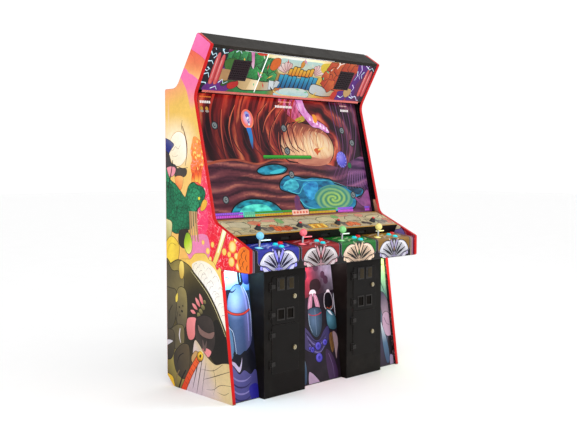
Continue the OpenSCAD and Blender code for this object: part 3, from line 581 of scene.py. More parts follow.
    # pale cloud bank behind the great dome
    A.add(smooth([(-176, 420), (-176, 540), (-150, 640), (-120, 690), (-96, 676), (-70, 712), (-30, 724), (0, 752), (50, 752), (96, 744), (130, 716), (170, 712), (230, 700), (250, 640), (100, 560), (-40, 480), (-120, 380)]),
          mottled(grad((-170, 620), (60, 740), (0, C(236, 196, 96)), (0.5, C(240, 206, 110)), (1, C(232, 190, 90))), 0.10, 30, 6), ink=2.5, inkc=C(170, 120, 50))
    A.add(smooth([(-176, 390), (-164, 450), (-152, 530), (-134, 600), (-104, 652), (-60, 690), (-6, 710), (50, 714), (100, 700), (120, 680), (90, 630), (-30, 540), (-100, 450), (-140, 370)]),
          mottled(grad((-150, 450), (80, 700), (0, C(240, 232, 216)), (0.45, C(246, 242, 238)), (1, C(238, 228, 206))), 0.07, 22, 6))
    for k in range(11):
        t = k / 10; x = -156 + 232 * t; y = 452 + 244 * t ** 0.62
        A.line([(x, y), (x + 18, y - 4), (x + 32, y - 22), (x + 30, y - 40)], 1.7, C(112, 102, 98), 0.8)
    for x, y, r in ((-124, 570, 20), (-84, 620, 26), (-28, 656, 27), (34, 676, 24), (-146, 480, 16), (-96, 540, 20), (-44, 596, 22), (14, 634, 20)):
        A.line([(x - r, y), (x - r * .6, y + r * .7), (x + r * .2, y + r), (x + r, y + r * .3)], 2, C(138, 128, 122), 1)
    # the great dome
    A.add(smooth([(-210, 190), (-196, 280), (-172, 346), (-132, 414), (-82, 486), (-20, 556), (44, 606), (100, 644), (140, 674), (196, 694), (250, 700), (310, 676), (372, 640), (372, -40), (120, -40), (-60, 120)], 8),
          radial((60, 380), 330, 380, (0, C(34, 28, 22)), (0.45, C(44, 38, 24)), (0.72, C(84, 72, 36)), (0.95, C(146, 130, 66)), (1.2, C(96, 84, 44))), ink=5, inkc=C(28, 24, 18))
    A.add(smooth([(-206, 190), (-192, 276), (-168, 340), (-130, 402), (-84, 420), (-40, 370), (-20, 300), (-30, 230), (-60, 196), (-120, 170)]), radial((-110, 300), 110, 160, (0, C(14, 10, 8)), (1, C(26, 21, 15))))
    A.line([(-164, 344), (-124, 410), (-74, 480), (-12, 548), (52, 598), (130, 654)], 2.4, C(226, 214, 160), 1.5, 3.4)
    A.line([(-150, 350), (-112, 408), (-62, 470), (0, 532), (62, 580)], 1.4, C(70, 60, 34), 1, 2)
    # soft petals inside the dome
    for x, y, a, l, w in ((40, 512, 62, 62, 24), (70, 492, 48, 60, 24), (96, 466, 30, 54, 22), (112, 436, 12, 46, 20)):
        ca, sa = math.cos(math.radians(a)), math.sin(math.radians(a))
        A.add(smooth([(x - l * .5 * ca, y - l * .5 * sa), (x - w * .5 * sa, y + w * .5 * ca), (x + l * .5 * ca, y + l * .5 * sa), (x + w * .5 * sa, y - w * .5 * ca)]),
              grad((x - 20, y - 20), (x + 20, y + 20), (0, C(206, 106, 108)), (1, C(234, 146, 148))), ink=3, inkc=C(46, 38, 30))
    for x, y, r in ((24, 470, 17), (44, 446, 17), (62, 424, 16), (10, 500, 13)):
        A.add(ell(x, y, r, r * .8, 30, 14), grad((x, y + r), (x, y - r), (0, C(148, 136, 84)), (1, C(66, 58, 38))), ink=2.5, inkc=C(24, 20, 16))
    A.add(smooth([(84, 400), (130, 404), (166, 386), (170, 330), (150, 284), (110, 292), (92, 330)]), grad((90, 400), (160, 300), (0, C(232, 138, 140)), (1, C(206, 112, 112))), ink=3, inkc=C(40, 30, 26))
    A.add(smooth([(-60, 404), (-10, 430), (50, 420), (86, 392), (92, 320), (70, 250), (20, 214), (-40, 236), (-76, 300)]), mottled(grad((-60, 400), (60, 230), (0, C(60, 50, 46)), (0.5, C(40, 32, 30)), (1, C(72, 60, 56))), 0.2, 24, 2), ink=3)
    A.add(smooth([(-70, 354), (-20, 340), (40, 352), (70, 372), (52, 326), (-10, 312), (-56, 320)]), C(122, 92, 86), ink=2)
    A.add(smooth([(-44, 246), (-10, 258), (30, 252), (14, 224), (-20, 214)]), C(226, 136, 138), ink=2.5)
    A.add(smooth([(-6, 300), (12, 270), (30, 300), (26, 250), (4, 242)]), C(96, 76, 72))
    # rounded boulders at the rear
    for pts, c0, c1 in (([(190, 600), (240, 640), (300, 640), (372, 690), (372, 480), (300, 470), (220, 500)], C(64, 58, 46), C(118, 106, 66)),
                        ([(176, 540), (226, 556), (262, 520), (276, 440), (260, 360), (214, 320), (176, 360), (164, 450)], C(92, 82, 60), C(140, 126, 76)),
                        ([(262, 520), (310, 540), (372, 520), (372, 330), (318, 320), (276, 380)], C(60, 54, 44), C(96, 86, 60)),
                        ([(196, 336), (240, 350), (290, 330), (330, 290), (316, 230), (250, 210), (200, 240)], C(74, 66, 52), C(110, 98, 62)),
                        ([(290, 300), (340, 310), (372, 300), (372, 160), (320, 150), (286, 210)], C(44, 38, 32), C(78, 68, 50)),
                        ([(150, 240), (200, 250), (250, 220), (290, 170), (270, 90), (200, 60), (150, 130)], C(52, 44, 36), C(86, 72, 50))):
        P0 = smooth(pts); A.add(P0, mottled(grad((pts[0][0], pts[0][1]), (pts[3][0], pts[3][1]), (0, c1), (1, c0)), 0.16, 26, 4), ink=3.5, inkc=C(18, 15, 12))
    [A.add(ell(*q, 20, 9), C(30, 25, 18)) for q in ((212, 426, 9, 7), (236, 446, 7, 5), (204, 456, 6, 5), (232, 402, 6, 5))]
    A.line([(230, 330), (238, 290), (226, 250)], 7, C(206, 196, 200), 3, 10); A.line([(250, 420), (262, 380), (252, 350)], 3, C(28, 24, 20), 1, 5)
    A.line([(300, 450), (330, 410), (334, 360)], 4, C(24, 20, 18), 1, 7); A.line([(200, 200), (240, 176), (262, 130)], 4, C(20, 16, 14), 1, 7)
    A.add(smooth([(300, 250), (340, 226), (372, 214), (372, 240), (340, 252)]), C(196, 190, 196), ink=2)
    A.add(smooth([(250, 520), (270, 500), (268, 470), (252, 480)]), C(222, 196, 80), ink=2)
    A.add(smooth([(196, 690), (222, 696), (236, 660), (226, 610), (204, 606), (190, 640)]), grad((200, 690), (220, 610), (0, C(240, 214, 110)), (1, C(196, 160, 70))), ink=3, inkc=C(90, 66, 20))
    # folded cloth at the foot
    A.add(smooth([(-236, 190), (-190, 206), (-140, 200), (-80, 184), (-20, 206), (24, 236), (64, 272), (96, 286), (112, 240), (126, 150), (160, 60), (190, -30), (-236, -30)], 6),
          mottled(grad((-200, 190), (60, -10), (0, C(206, 182, 128)), (0.45, C(206, 182, 140)), (0.62, C(204, 184, 178)), (1, C(196, 176, 186))), 0.06, 40, 3), ink=4, inkc=C(30, 22, 16))
    for p, w in ((((-200, 170), (-120, 140), (-40, 110), (20, 90)), 4), (((-140, 196), (-60, 150), (40, 140)), 3), (((-206, 96), (-120, 84), (-60, 50), (0, 40)), 3), (((60, 214), (84, 130), (120, 20)), 7), (((30, 210), (56, 110), (84, 0)), 6),
                 (((0, 180), (20, 100), (40, 0)), 3.5), (((-60, 160), (-80, 90), (-60, 20)), 2.5), (((96, 210), (120, 130), (150, 40)), 6), (((-190, 60), (-150, 40), (-90, 44)), 2.5)):
        A.line(list(p), w * .6, INK, w * .3, w)
    A.add(smooth([(70, 220), (96, 226), (128, 190), (118, 160), (86, 180)]), C(188, 146, 92), ink=3)
    # orange band with a golden end
    A.line([(64, 196), (110, 140), (160, 70), (214, -20)], 40, C(60, 20, 12), 44)
    A.line([(64, 196), (110, 140), (160, 70), (214, -20)], 32, mottled(grad((64, 196), (214, -20), (0, C(226, 92, 36)), (1, C(206, 54, 24))), 0.2, 16, 6), 38)
    for k in range(6):
        t = k / 6; x = 86 + 110 * t; y = 172 - 160 * t
        A.line([(x - 14, y - 6), (x, y + 2), (x + 14, y + 12)], 3.5, C(120, 26, 12), 2)
    A.add(ell(52, 206, 30, 24, -50, 18), radial((46, 212), 34, 28, (0, C(250, 226, 90)), (0.6, C(226, 176, 40)), (1, C(150, 100, 20))), ink=3.5)
    A.add(ell(50, 208, 11, 9, -50, 10), C(70, 46, 12)); A.line([(28, 226), (44, 236), (64, 232)], 4, C(252, 240, 150), 2)
    A.add(smooth([(296, 40), (330, 60), (372, 52), (372, -20), (290, -20)]), mottled(C(222, 176, 40), 0.2, 20, 5), ink=3)
    A.line([(180, 110), (216, 60), (250, -10)], 9, C(22, 16, 12), 12); A.line([(240, 100), (266, 60), (282, 0)], 6, C(120, 96, 60), 3, 9)
    return A


def side_inner():
    """inner faces: warm sand beside the screen, violet and cream over the deck, dark below"""
    base = lambda x, y: stops(y + 0.0 * x, [(0, C(20, 18, 20)), (700, C(28, 22, 30)), (800, C(70, 30, 60)), (900, C(150, 60, 60)), (1000, C(196, 150, 116)), (1300, C(200, 150, 112)), (1560, C(196, 110, 84)), (1700, C(170, 50, 60)), (1900, C(200, 90, 130))])
    A = Art(mottled(base, 0.14, 60, 3), fx=(0.25, 0, 0))
    A.add(smooth([(-360, 700), (-340, 800), (-250, 850), (-200, 840), (-190, 700)]), mottled(C(150, 24, 40), 0.15, 40, 3), fx=(0.5, 0, 0))
    A.add(smooth([(-280, 800), (-230, 850), (-180, 846), (-186, 800), (-230, 770)]), mottled(grad((-280, 800), (-190, 850), (0, C(118, 100, 170)), (1, C(150, 136, 200))), 0.15, 30, 3), ink=3)
    A.add(smooth([(-246, 838), (-200, 880), (-120, 910), (-84, 896), (-110, 850), (-180, 826)]), mottled(C(236, 220, 186), 0.08, 30, 4), ink=3)
    A.add(smooth([(-84, 940), (-40, 1000), (-10, 1120), (20, 1240), (46, 1360), (70, 1480), (96, 1560), (60, 1560), (20, 1440), (-20, 1240), (-60, 1040)]), mottled(C(210, 50, 44), 0.2, 40, 5), fx=(0.7, 0, 0))
    A.add([(-110, 1002), (320, 1002), (320, 1606), (20, 1606)], mottled(C(13, 12, 13), 0.3, 40, 3))
    return A


# ------------------------------------------------------------------ header artwork, plane (x, up the slope; 0 at the roof line)
def header_art():
    def ground(x, y):
        k = (fbm(x / 26, y / 26, 2) - 0.5)[..., None]
        base = stops(x, [(-640, C(24, 12, 30)), (-520, C(70, 26, 84)), (-430, C(48, 120, 60)), (-300, C(42, 150, 78)), (-170, C(66, 160, 84)), (-90, C(226, 120, 50)), (0, C(214, 214, 190)),
                         (120, C(190, 214, 200)), (200, C(238, 196, 70)), (300, C(222, 92, 40)), (430, C(206, 66, 44)), (500, C(120, 30, 110)), (640, C(30, 12, 34))])
        return base * (1 + 0.5 * k)
    A = Art(ground, glow=0.55)
    G = 0.55
    cobalt = C(24, 16, 36)
    A.add(smooth([(-640, 10), (-470, 10), (-492, -60), (-530, -140), (-520, -270), (-640, -270)]), mottled(cobalt, 0.5, 30, 3), glow=0.35)
    A.add(smooth([(-560, -150), (-500, -120), (-430, -126), (-440, -160), (-500, -176), (-560, -172)]), C(120, 50, 150), glow=G)
    A.add(smooth([(-520, -10), (-440, -4), (-410, -40), (-450, -66), (-500, -50)]), mottled(C(120, 24, 90), 0.3, 16), glow=G)
    # branching light
    for p in (((-630, -40), (-612, -60), (-596, -48), (-580, -66)), ((-636, -96), (-606, -92), (-590, -110)), ((-560, -20), (-542, -44), (-520, -38), (-504, -58)), ((-636, -170), (-604, -160), (-590, -186)), ((-640, -214), (-600, -216), (-590, -250), (-560, -240)),
              ((-556, -34), (-548, -16)), ((-500, -226), (-480, -206), (-470, -236), (-450, -246)), ((-620, -128), (-600, -140))):
        A.line(list(p), 9, C(90, 190, 220), 3, glow=0.8, n=1); A.line(list(p), 4.5, C(236, 250, 252), 1.5, glow=1.1, n=1)
    # leafy masses on the left
    for i, (x, y, r) in enumerate(((-480, -60, 34), (-440, -40, 40), (-400, -50, 34), (-352, -44, 30), (-470, -110, 30), (-300, -70, 44), (-262, -120, 46), (-300, -150, 44), (-222, -80, 42), (-200, -130, 40), (-176, -60, 32), (-230, -170, 34), (-166, -150, 26))):
        A.add(smooth([(x + r * math.cos(a) * (1 + 0.22 * (k % 2)), y + r * math.sin(a) * (1 + 0.22 * (k % 2))) for k, a in enumerate(np.linspace(0, 2 * math.pi, 12, endpoint=False))], 3),
              mottled(grad((x - r, y - r), (x + r, y + r), (0, C(16, 92, 46)), (1, C(70, 190, 96) if i % 2 else C(90, 200, 120))), 0.2, 12, i), fx=(0, 0, 0.7), glow=G, ink=3.2, inkc=C(6, 30, 16))
    A.add(smooth([(-520, -84), (-470, -66), (-440, -80), (-452, -126), (-500, -130)]), mottled(C(64, 116, 44), 0.2, 14, 2), glow=G, ink=2)
    A.add(smooth([(-420, -6), (-376, -16), (-352, -56), (-336, -96), (-316, -112), (-326, -70), (-344, -24), (-330, -4)]), grad((-420, 0), (-320, -110), (0, C(232, 214, 236)), (0.5, C(210, 110, 170)), (1, C(232, 200, 220))), glow=0.8, ink=2)
    A.add(smooth([(-330, -4), (-250, -2), (-240, -24), (-290, -34), (-326, -24)]), C(228, 60, 36), glow=G)
    # white beam and bright centre window
    A.add([(-256, -12), (296, -12), (306, -42), (-254, -40)], grad((-256, -14), (296, -14), (0, C(240, 220, 150)), (0.35, C(252, 252, 246)), (0.75, C(250, 244, 190)), (1, C(240, 150, 60))), glow=1.0)
    A.add(smooth([(-150, -40), (-60, -36), (60, -36), (190, -40), (236, -90), (210, -120), (0, -116), (-130, -120)]), mottled(grad((0, -40), (0, -120), (0, C(186, 220, 216)), (0.6, C(206, 214, 190)), (1, C(226, 200, 140))), 0.14, 12, 5), glow=0.75)
    # fans of rays on each side of the centre
    for s in (-1, 1):
        for k in range(5):
            a = math.radians(22 + 17 * k); r0, r1 = 24, 100 - 9 * k
            cx, cy = 36 + s * 96, -122
            d = np.array([s * math.cos(a), math.sin(a)]); q = np.array([-d[1], d[0]])
            P = [np.array([cx, cy]) + d * r0 - q * 5, np.array([cx, cy]) + d * r1 * 0.8 - q * 12, np.array([cx, cy]) + d * r1, np.array([cx, cy]) + d * r1 * 0.8 + q * 9, np.array([cx, cy]) + d * r0 + q * 5]
            A.add(smooth(P, 3), grad((cx, cy), (cx + s * 80, cy + 60), (0, C(226, 160, 160)), (1, C(250, 232, 226))), glow=0.7, ink=2.4, inkc=C(110, 30, 40))
    A.add(smooth([(-196, -44), (-150, -40), (-140, -80), (-170, -110), (-204, -96)]), mottled(C(236, 110, 34), 0.2, 14), glow=G, ink=2)
    A.add(smooth([(180, -40), (250, -36), (246, -84), (206, -96), (176, -70)]), mottled(C(240, 206, 60), 0.14, 14), glow=G)
    # centre blocks without any marks: amber bars over blue bars
    for k in range(7):
        x0 = -58 + 27 * k + 2; top = -82 + 12 * math.sin(k * 1.3) - 3 * abs(k - 3)
        A.add(rrect(x0, -128 - 2 * (k % 2), x0 + 23, top, 5, 3), grad((x0, top), (x0, -128), (0, C(250, 196, 60)), (1, C(236, 140, 30))), glow=0.6, ink=5, inkc=C(70, 20, 12))
    A.add(smooth([(14, -50), (28, -34), (42, -52), (36, -76), (20, -76)]), C(232, 150, 50), glow=G, ink=2)
    for k in range(9):
        x0 = -112 + 33 * k; w = 29; top = -132 - 3.2 * (4 - abs(k - 4)) + 6 * (k % 2); bot = -202 + 4 * ((k * 3) % 3) - 2 * abs(k - 4)
        A.add(np.array([(x0 + 3, bot), (x0 + w - 3, bot - 3), (x0 + w, top), (x0, top + 3)]), grad((x0, top), (x0, bot), (0, C(60, 176, 212)), (0.5, C(30, 132, 184)), (1, C(24, 96, 150))), glow=0.6, ink=5.5, inkc=C(8, 22, 44))
    # ribbon along the bottom
    A.add(smooth([(-400, -206), (-380, -178), (-330, -172), (-230, -184), (-150, -180), (-110, -170), (-120, -214), (-160, -230), (-260, -236), (-350, -238)]), grad((-400, -200), (-120, -200), (0, C(206, 166, 110)), (0.45, C(236, 206, 150)), (0.62, C(206, 176, 120)), (1, C(214, 220, 222))), glow=0.6, ink=4.5, inkc=C(30, 18, 12))
    A.add(smooth([(160, -172), (220, -178), (300, -196), (360, -204), (350, -232), (260, -240), (170, -226), (150, -200)]), grad((150, -180), (350, -220), (0, C(214, 222, 226)), (0.6, C(206, 206, 200)), (1, C(206, 160, 100))), glow=0.6, ink=4.5, inkc=C(30, 18, 12))
    A.add([(-178, -172), (-142, -174), (-122, -222), (-160, -226)], C(222, 230, 234), glow=0.7, ink=2.5); A.add([(-128, -168), (-96, -176), (-104, -206), (-130, -214)], C(214, 222, 228), glow=0.6, ink=2.5)
    A.add(smooth([(-110, -244), (-60, -214), (20, -206), (110, -210), (160, -240), (120, -262), (-80, -262)]), mottled(grad((0, -206), (0, -256), (0, C(216, 226, 214)), (1, C(170, 214, 220))), 0.14, 12, 7), glow=0.8, ink=2, inkc=C(120, 70, 30))
    A.line([(-120, -232), (-60, -252), (60, -256), (150, -248)], 7, C(240, 206, 130), 4, glow=0.8)
    A.line([(-248, -20), (-250, -120), (-254, -250)], 7, C(250, 252, 250), 5, glow=1.6, n=2)
    A.add([(-306, -176), (-254, -178), (-256, -236), (-318, -236)], grad((-312, -200), (-256, -200), (0, C(232, 200, 146)), (1, C(252, 240, 206))), glow=0.85)
    # hot masses on the right
    for i, (x, y, r) in enumerate(((270, -60, 34), (300, -100, 44), (260, -140, 38), (330, -60, 36), (346, -140, 34), (300, -170, 34), (390, -50, 36), (430, -44, 30), (460, -56, 26), (240, -110, 26))):
        A.add(smooth([(x + r * math.cos(a) * (1 + 0.25 * (k % 2)), y + r * math.sin(a) * (1 + 0.25 * (k % 2))) for k, a in enumerate(np.linspace(0.3, 2 * math.pi + 0.3, 10, endpoint=False))], 3),
              mottled(grad((x - r, y - r), (x + r, y + r), (0, C(186, 50, 24)), (1, C(240, 120, 56) if i % 2 else C(226, 96, 50))), 0.2, 12, i + 3), glow=G, ink=3.4, inkc=C(60, 8, 8))
    A.line([(300, -6), (318, -34), (306, -60)], 12, C(250, 240, 226), 4, glow=1.0, n=2); A.line([(318, -34), (350, -20), (380, -8)], 7, C(250, 232, 220), 3, glow=0.9, n=2)
    A.add(smooth([(478, -10), (560, -14), (556, -80), (520, -150), (540, -230), (480, -250), (470, -150), (486, -80)]), mottled(C(92, 24, 132), 0.3, 20, 9), glow=G)
    for p in (((500, -20), (520, -50), (510, -86), (530, -110)), ((490, -150), (512, -170), (500, -200), (520, -226)), ((540, -20), (560, -30), (580, -14)), ((400, -214), (430, -206), (424, -240), (450, -250)), ((520, -230), (556, -226), (580, -250), (610, -246))):
        A.line(list(p), 8, C(150, 110, 220), 3, glow=0.7, n=1); A.line(list(p), 4, C(244, 236, 252), 1.5, glow=1.0, n=1)
    A.add(smooth([(386, -206), (440, -196), (470, -216), (460, -256), (390, -258)]), mottled(C(96, 30, 140), 0.3, 16, 4), glow=G, ink=2)
    A.add(smooth([(440, -186), (490, -180), (500, -216), (470, -236), (444, -216)]), C(214, 170, 110), glow=G, ink=2)
    A.add(smooth([(350, -206), (386, -210), (380, -250), (340, -246)]), C(214, 50, 34), glow=G)
    A.add(smooth([(-600, -226), (-540, -196), (-480, -192), (-440, -216), (-452, -256), (-600, -262)]), mottled(C(112, 36, 140), 0.3, 16, 6), glow=G)
    A.add(smooth([(-450, -196), (-400, -190), (-384, -216), (-420, -240), (-452, -232)]), C(206, 40, 36), glow=G, ink=2); A.add(smooth([(-470, -176), (-420, -166), (-400, -190), (-440, -200), (-480, -226), (-500, -216)]), C(52, 92, 40), glow=G, ink=2.5)
    A.add(smooth([(-546, -136), (-500, -130), (-452, -140), (-452, -186), (-500, -196), (-546, -190)]), mottled(C(196, 150, 100), 0.12, 16), glow=G)
    A.add(smooth([(600, 8), (640, 8), (640, -270), (590, -270), (606, -210), (620, -120), (600, -60)]), C(20, 10, 24), glow=0.3)
    for k in range(44):
        hx = _hash(np.array(k), np.array(3), 5); hy = _hash(np.array(k), np.array(8), 6); hz = _hash(np.array(k), np.array(5), 9)
        x = -440 + 880 * float(hx); y = -36 - 200 * float(hy)
        if -120 < x < 200 and -210 < y < -60 or abs(abs(x) - 404) < 74 and -196 < y < -66:
            continue
        L_ = 10 + 22 * float(hz); an = 6.28 * float(hx * 7 % 1)
        c = (C(246, 240, 220), C(20, 18, 26), C(250, 200, 70), C(220, 60, 50), C(90, 210, 150), C(236, 150, 190))[k % 6]
        u = np.array([math.cos(an), math.sin(an)]); v = np.array([-u[1], u[0]]); p = np.array([x, y])
        A.add(np.array([p - u * L_, p - v * 4, p + u * L_ * .7, p + v * 4.5]), c, glow=0.6 if k % 6 != 1 else 0.3)
    for p in (((-636, -20), (-612, -14), (-600, -30)), ((-600, -76), (-584, -60), (-570, -80)), ((-520, -210), (-500, -190), (-486, -214), (-460, -200)), ((-636, -140), (-616, -150), (-606, -136)), ((-560, -246), (-530, -232), (-516, -250)), ((560, -30), (584, -44), (600, -30), (624, -50)), ((546, -60), (530, -84), (546, -104)),
              ((488, -60), (500, -90), (490, -120)), ((500, -230), (530, -240), (550, -222), (570, -236)), ((-470, -30), (-448, -16), (-430, -34)), ((400, -230), (430, -240), (450, -226))):
        A.line(list(p), 7, C(120, 190, 230), 3, glow=0.7, n=1); A.line(list(p), 3.6, C(244, 250, 252), 1.5, glow=1.1, n=1)
    # glossy red capsules at each end
    for x0, x1 in ((-586, -524), (562, 622)):
        for j, (a, b) in enumerate(((x0, (x0 + x1) / 2 - 1), ((x0 + x1) / 2 + 1, x1))):
            top = -52 - 8 * j
            A.add(smooth([(a + 2, top - 20), ((a + b) / 2, top + 10), (b - 2, top - 20), (b, -200), ((a + b) / 2, -222), (a, -200)], 4),
                  grad((a, 0), (b, 0), (0, C(226, 60, 66)), (0.4, C(246, 130, 130)), (0.6, C(232, 84, 88)), (1, C(196, 44, 56))), glow=0.55, ink=1.6, inkc=C(110, 16, 30))
            A.line([(a + (b - a) * .35, top - 24), (a + (b - a) * .35, -120), (a + (b - a) * .35, -190)], 4, C(252, 190, 184), 1.5, glow=0.7, n=2)
    return A


# ------------------------------------------------------------------ the picture on the screen, plane (x, up the glass)
def screen_art():
    cx, cy = 205.0, 430.0
    maroon, rust, amber, plum, rose = C(46, 12, 22), C(150, 44, 34), C(214, 104, 66), C(72, 30, 54), C(200, 70, 110)
    def wall(x, y):
        dx = (x - cx) / 1.30; dy = y - cy
        r = np.hypot(dx, dy); a = np.arctan2(dy, dx); al = np.where(a < -1.2, a + 2 * np.pi, a)
        rr = r + 70 * fbm(al * 1.6 + 4, r / 260, 3) + 26 * fbm(al * 5 + 9, r / 120, 5)
        t = 0.62 * fbm(rr / 21, al * 1.7 + 5, 11, 3) + 0.38 * (0.5 + 0.5 * np.sin(rr / 15.5 + 2.2 * fbm(al * 2.4, rr / 200, 7)))
        t = np.clip((t - 0.30) * 1.9, 0, 1)
        lit = np.clip(1.10 - r / 620, 0.30, 1.0)[..., None]
        col = stops(t, [(0, C(38, 10, 20)), (0.3, C(84, 20, 30)), (0.55, C(136, 38, 38)), (0.78, C(186, 70, 54)), (1, C(236, 132, 88))]) * (0.45 + 0.75 * lit)
        top = np.clip((y - 545) / 130, 0, 1)[..., None] * np.clip((330 - x) / 260, 0, 1)[..., None]
        col = col * (1 - 0.62 * top) + stops(t, [(0, C(112, 10, 14)), (0.5, C(170, 26, 24)), (1, C(246, 76, 50))]) * 0.62 * top
        right = np.clip((x - 372) / 130, 0, 1)[..., None]
        return col * (1 - 0.85 * right) + stops(t, [(0, C(30, 14, 28)), (0.6, C(62, 30, 54)), (1, C(116, 60, 96))]) * 0.85 * right
    A = Art(wall, glow=1.0)
    def floorc(x, y):
        yy = y + 34 * fbm(x / 170, y / 90, 7) + 14 * np.sin(x / 84 + y / 60)
        t = 0.6 * fbm(x / 150, yy / 8.5, 4, 3) + 0.4 * (0.5 + 0.5 * np.sin(yy / 9.5))
        t = np.clip((t - 0.28) * 1.75, 0, 1)
        col = stops(t, [(0, C(50, 18, 30)), (0.35, C(92, 40, 50)), (0.7, C(134, 66, 66)), (1, C(206, 124, 100))])
        right = np.clip((x - 240) / 260, 0, 1)[..., None]; low = np.clip(1 - y / 150, 0, 1)[..., None]; lft = np.clip((-x - 260) / 300, 0, 1)[..., None]
        col = col * (1 - 0.65 * right) + stops(t, [(0, C(62, 34, 82)), (1, C(140, 92, 160))]) * right * 0.65
        col = col * (1 - 0.35 * lft) + stops(t, [(0, C(48, 22, 44)), (1, C(120, 66, 92))]) * lft * 0.35
        return col * (1 - 0.3 * low) + C(126, 44, 56) * 0.3 * low
    A.add(smooth([(-640, 290), (-520, 316), (-400, 322), (-260, 300), (-140, 322), (0, 310), (140, 296), (280, 300), (420, 280), (520, 330), (640, 320), (640, -20), (-640, -20)], 8), floorc, glow=1.0)
    A.line([(-640, 292), (-520, 318), (-400, 324), (-260, 302), (-140, 326), (-40, 318)], 14, lambda x, y: stops(fbm(x / 60, y / 8, 3), [(0, C(120, 44, 40)), (1, C(206, 104, 72))]), 8, glow=1.0)
    # bright mouth of the tunnel
    def mouth(x, y):
        t = np.abs(np.sin((x + (y - 400) * 0.45) / 15 + 2.2 * fbm(x / 70, y / 90, 5)))
        up = np.clip((y - 330) / 210, 0, 1)
        base = stops(np.clip(1 - up, 0, 1), [(0, C(130, 60, 50)), (0.3, C(196, 110, 80)), (0.62, C(246, 206, 158)), (0.85, C(244, 196, 150)), (1, C(206, 120, 96))])
        k = (0.72 + 0.36 * t * np.clip(1.2 - (x - 10) / 330, 0.2, 1))[..., None]
        left = np.clip((60 - x) / 120, 0, 1)[..., None]
        return base * k * (1 - 0.45 * left) + C(150, 60, 56) * 0.45 * left
    A.add(smooth([(-30, 330), (-60, 400), (-40, 480), (10, 530), (90, 548), (180, 540), (270, 520), (330, 480), (362, 420), (352, 360), (300, 312), (200, 300), (80, 312)], 8), mouth, glow=1.15, ink=6, inkc=C(110, 44, 46))
    def bright(x, y):
        e = np.clip(1.15 - np.hypot((x - 236) / 128, (y - 418) / 92), 0, 1)[..., None]
        f = stops(fbm((x + (y - 400) * 0.5) / 15, y / 60, 8), [(0, C(206, 124, 84)), (0.45, C(246, 210, 160)), (1, C(255, 244, 220))])
        return mouth(x, y) * (1 - e) + f * e
    A.add(smooth([(60, 400), (90, 470), (160, 500), (240, 496), (310, 474), (346, 420), (332, 362), (280, 328), (180, 322), (100, 340)], 8), bright, glow=1.2)
    for q, w, c in ((((120, 486), (150, 430), (148, 380), (170, 340)), 9, C(250, 214, 160)), (((170, 496), (196, 440), (192, 390)), 7, C(214, 140, 100)), (((226, 500), (240, 460), (234, 430)), 7, C(252, 226, 180)), (((280, 486), (286, 440), (268, 400)), 6, C(226, 160, 116)),
                    (((90, 470), (112, 420), (104, 370)), 7, C(196, 110, 84)), (((60, 500), (76, 440), (64, 390), (80, 350)), 8, C(226, 150, 110)), (((20, 516), (30, 450), (22, 400), (44, 350)), 7, C(150, 70, 64)), (((318, 470), (330, 424), (318, 380)), 6, C(206, 130, 100))):
        A.line(list(q), 2, c, 1.5, w, glow=1.15)
    for k in range(11):
        x0 = -24 + 28 * k; A.line([(x0 + 46, 536 - k * 3), (x0 + 12, 480), (x0 + 4, 420), (x0 + 20, 360 - k)], 6, C(150, 70, 60) if k % 2 else C(226, 150, 110), 1.5, 4, glow=1.0)
    A.add(smooth([(70, 330), (170, 344), (270, 330), (336, 350), (300, 306), (190, 290), (60, 306)]), lambda x, y: stops(fbm(x / 50, y / 12, 4), [(0, C(170, 90, 76)), (1, C(226, 150, 120))]), glow=1.0)
    A.add(smooth([(196, 388), (216, 398), (240, 396), (250, 380), (232, 370), (222, 356), (208, 372)]), C(206, 90, 44), glow=1.2); A.line([(232, 388), (262, 396), (286, 404)], 10, C(246, 206, 110), 2, glow=1.2)
    # violet crystal seam along the upper edge of the mouth
    A.add(smooth([(60, 700), (150, 700), (176, 640), (210, 600), (262, 566), (316, 540), (350, 500), (322, 496), (270, 520), (214, 528), (178, 560), (140, 600), (104, 640), (70, 660)]), lambda x, y: stops(fbm(x / 16, y / 22, 6), [(0, C(150, 60, 130)), (0.5, C(214, 130, 196)), (1, C(244, 206, 236))]), glow=1.25, ink=4, inkc=C(110, 36, 80))
    A.add(smooth([(-40, 700), (90, 700), (110, 640), (130, 590), (90, 560), (20, 600), (-10, 650)]), lambda x, y: stops(np.abs(np.sin((x - y * 0.5) / 12)), [(0, C(150, 40, 80)), (1, C(226, 96, 140))]), glow=1.05)
    for k in range(7):
        A.line([(-10 + 18 * k, 696), (0 + 20 * k, 650), (30 + 18 * k, 600 - 4 * k)], 5, C(240, 140, 190) if k % 2 else C(120, 30, 70), 1.5, glow=1.1)
    for k in range(6):
        x0 = 196 + 26 * k; y0 = 566 - 12 * k; A.add([(x0, y0), (x0 + 8, y0 + 26), (x0 + 16, y0 - 2)], C(248, 220, 244), glow=1.3)
    A.add(smooth([(80, 566), (110, 580), (150, 590), (158, 566), (120, 552), (92, 552)]), lambda x, y: stops(fbm(x / 9, y / 9, 5), [(0, C(90, 110, 40)), (1, C(246, 196, 60))]), glow=1.1)
    A.add(smooth([(226, 600), (250, 600), (262, 570), (250, 552), (232, 560)]), C(236, 150, 50), glow=1.2)
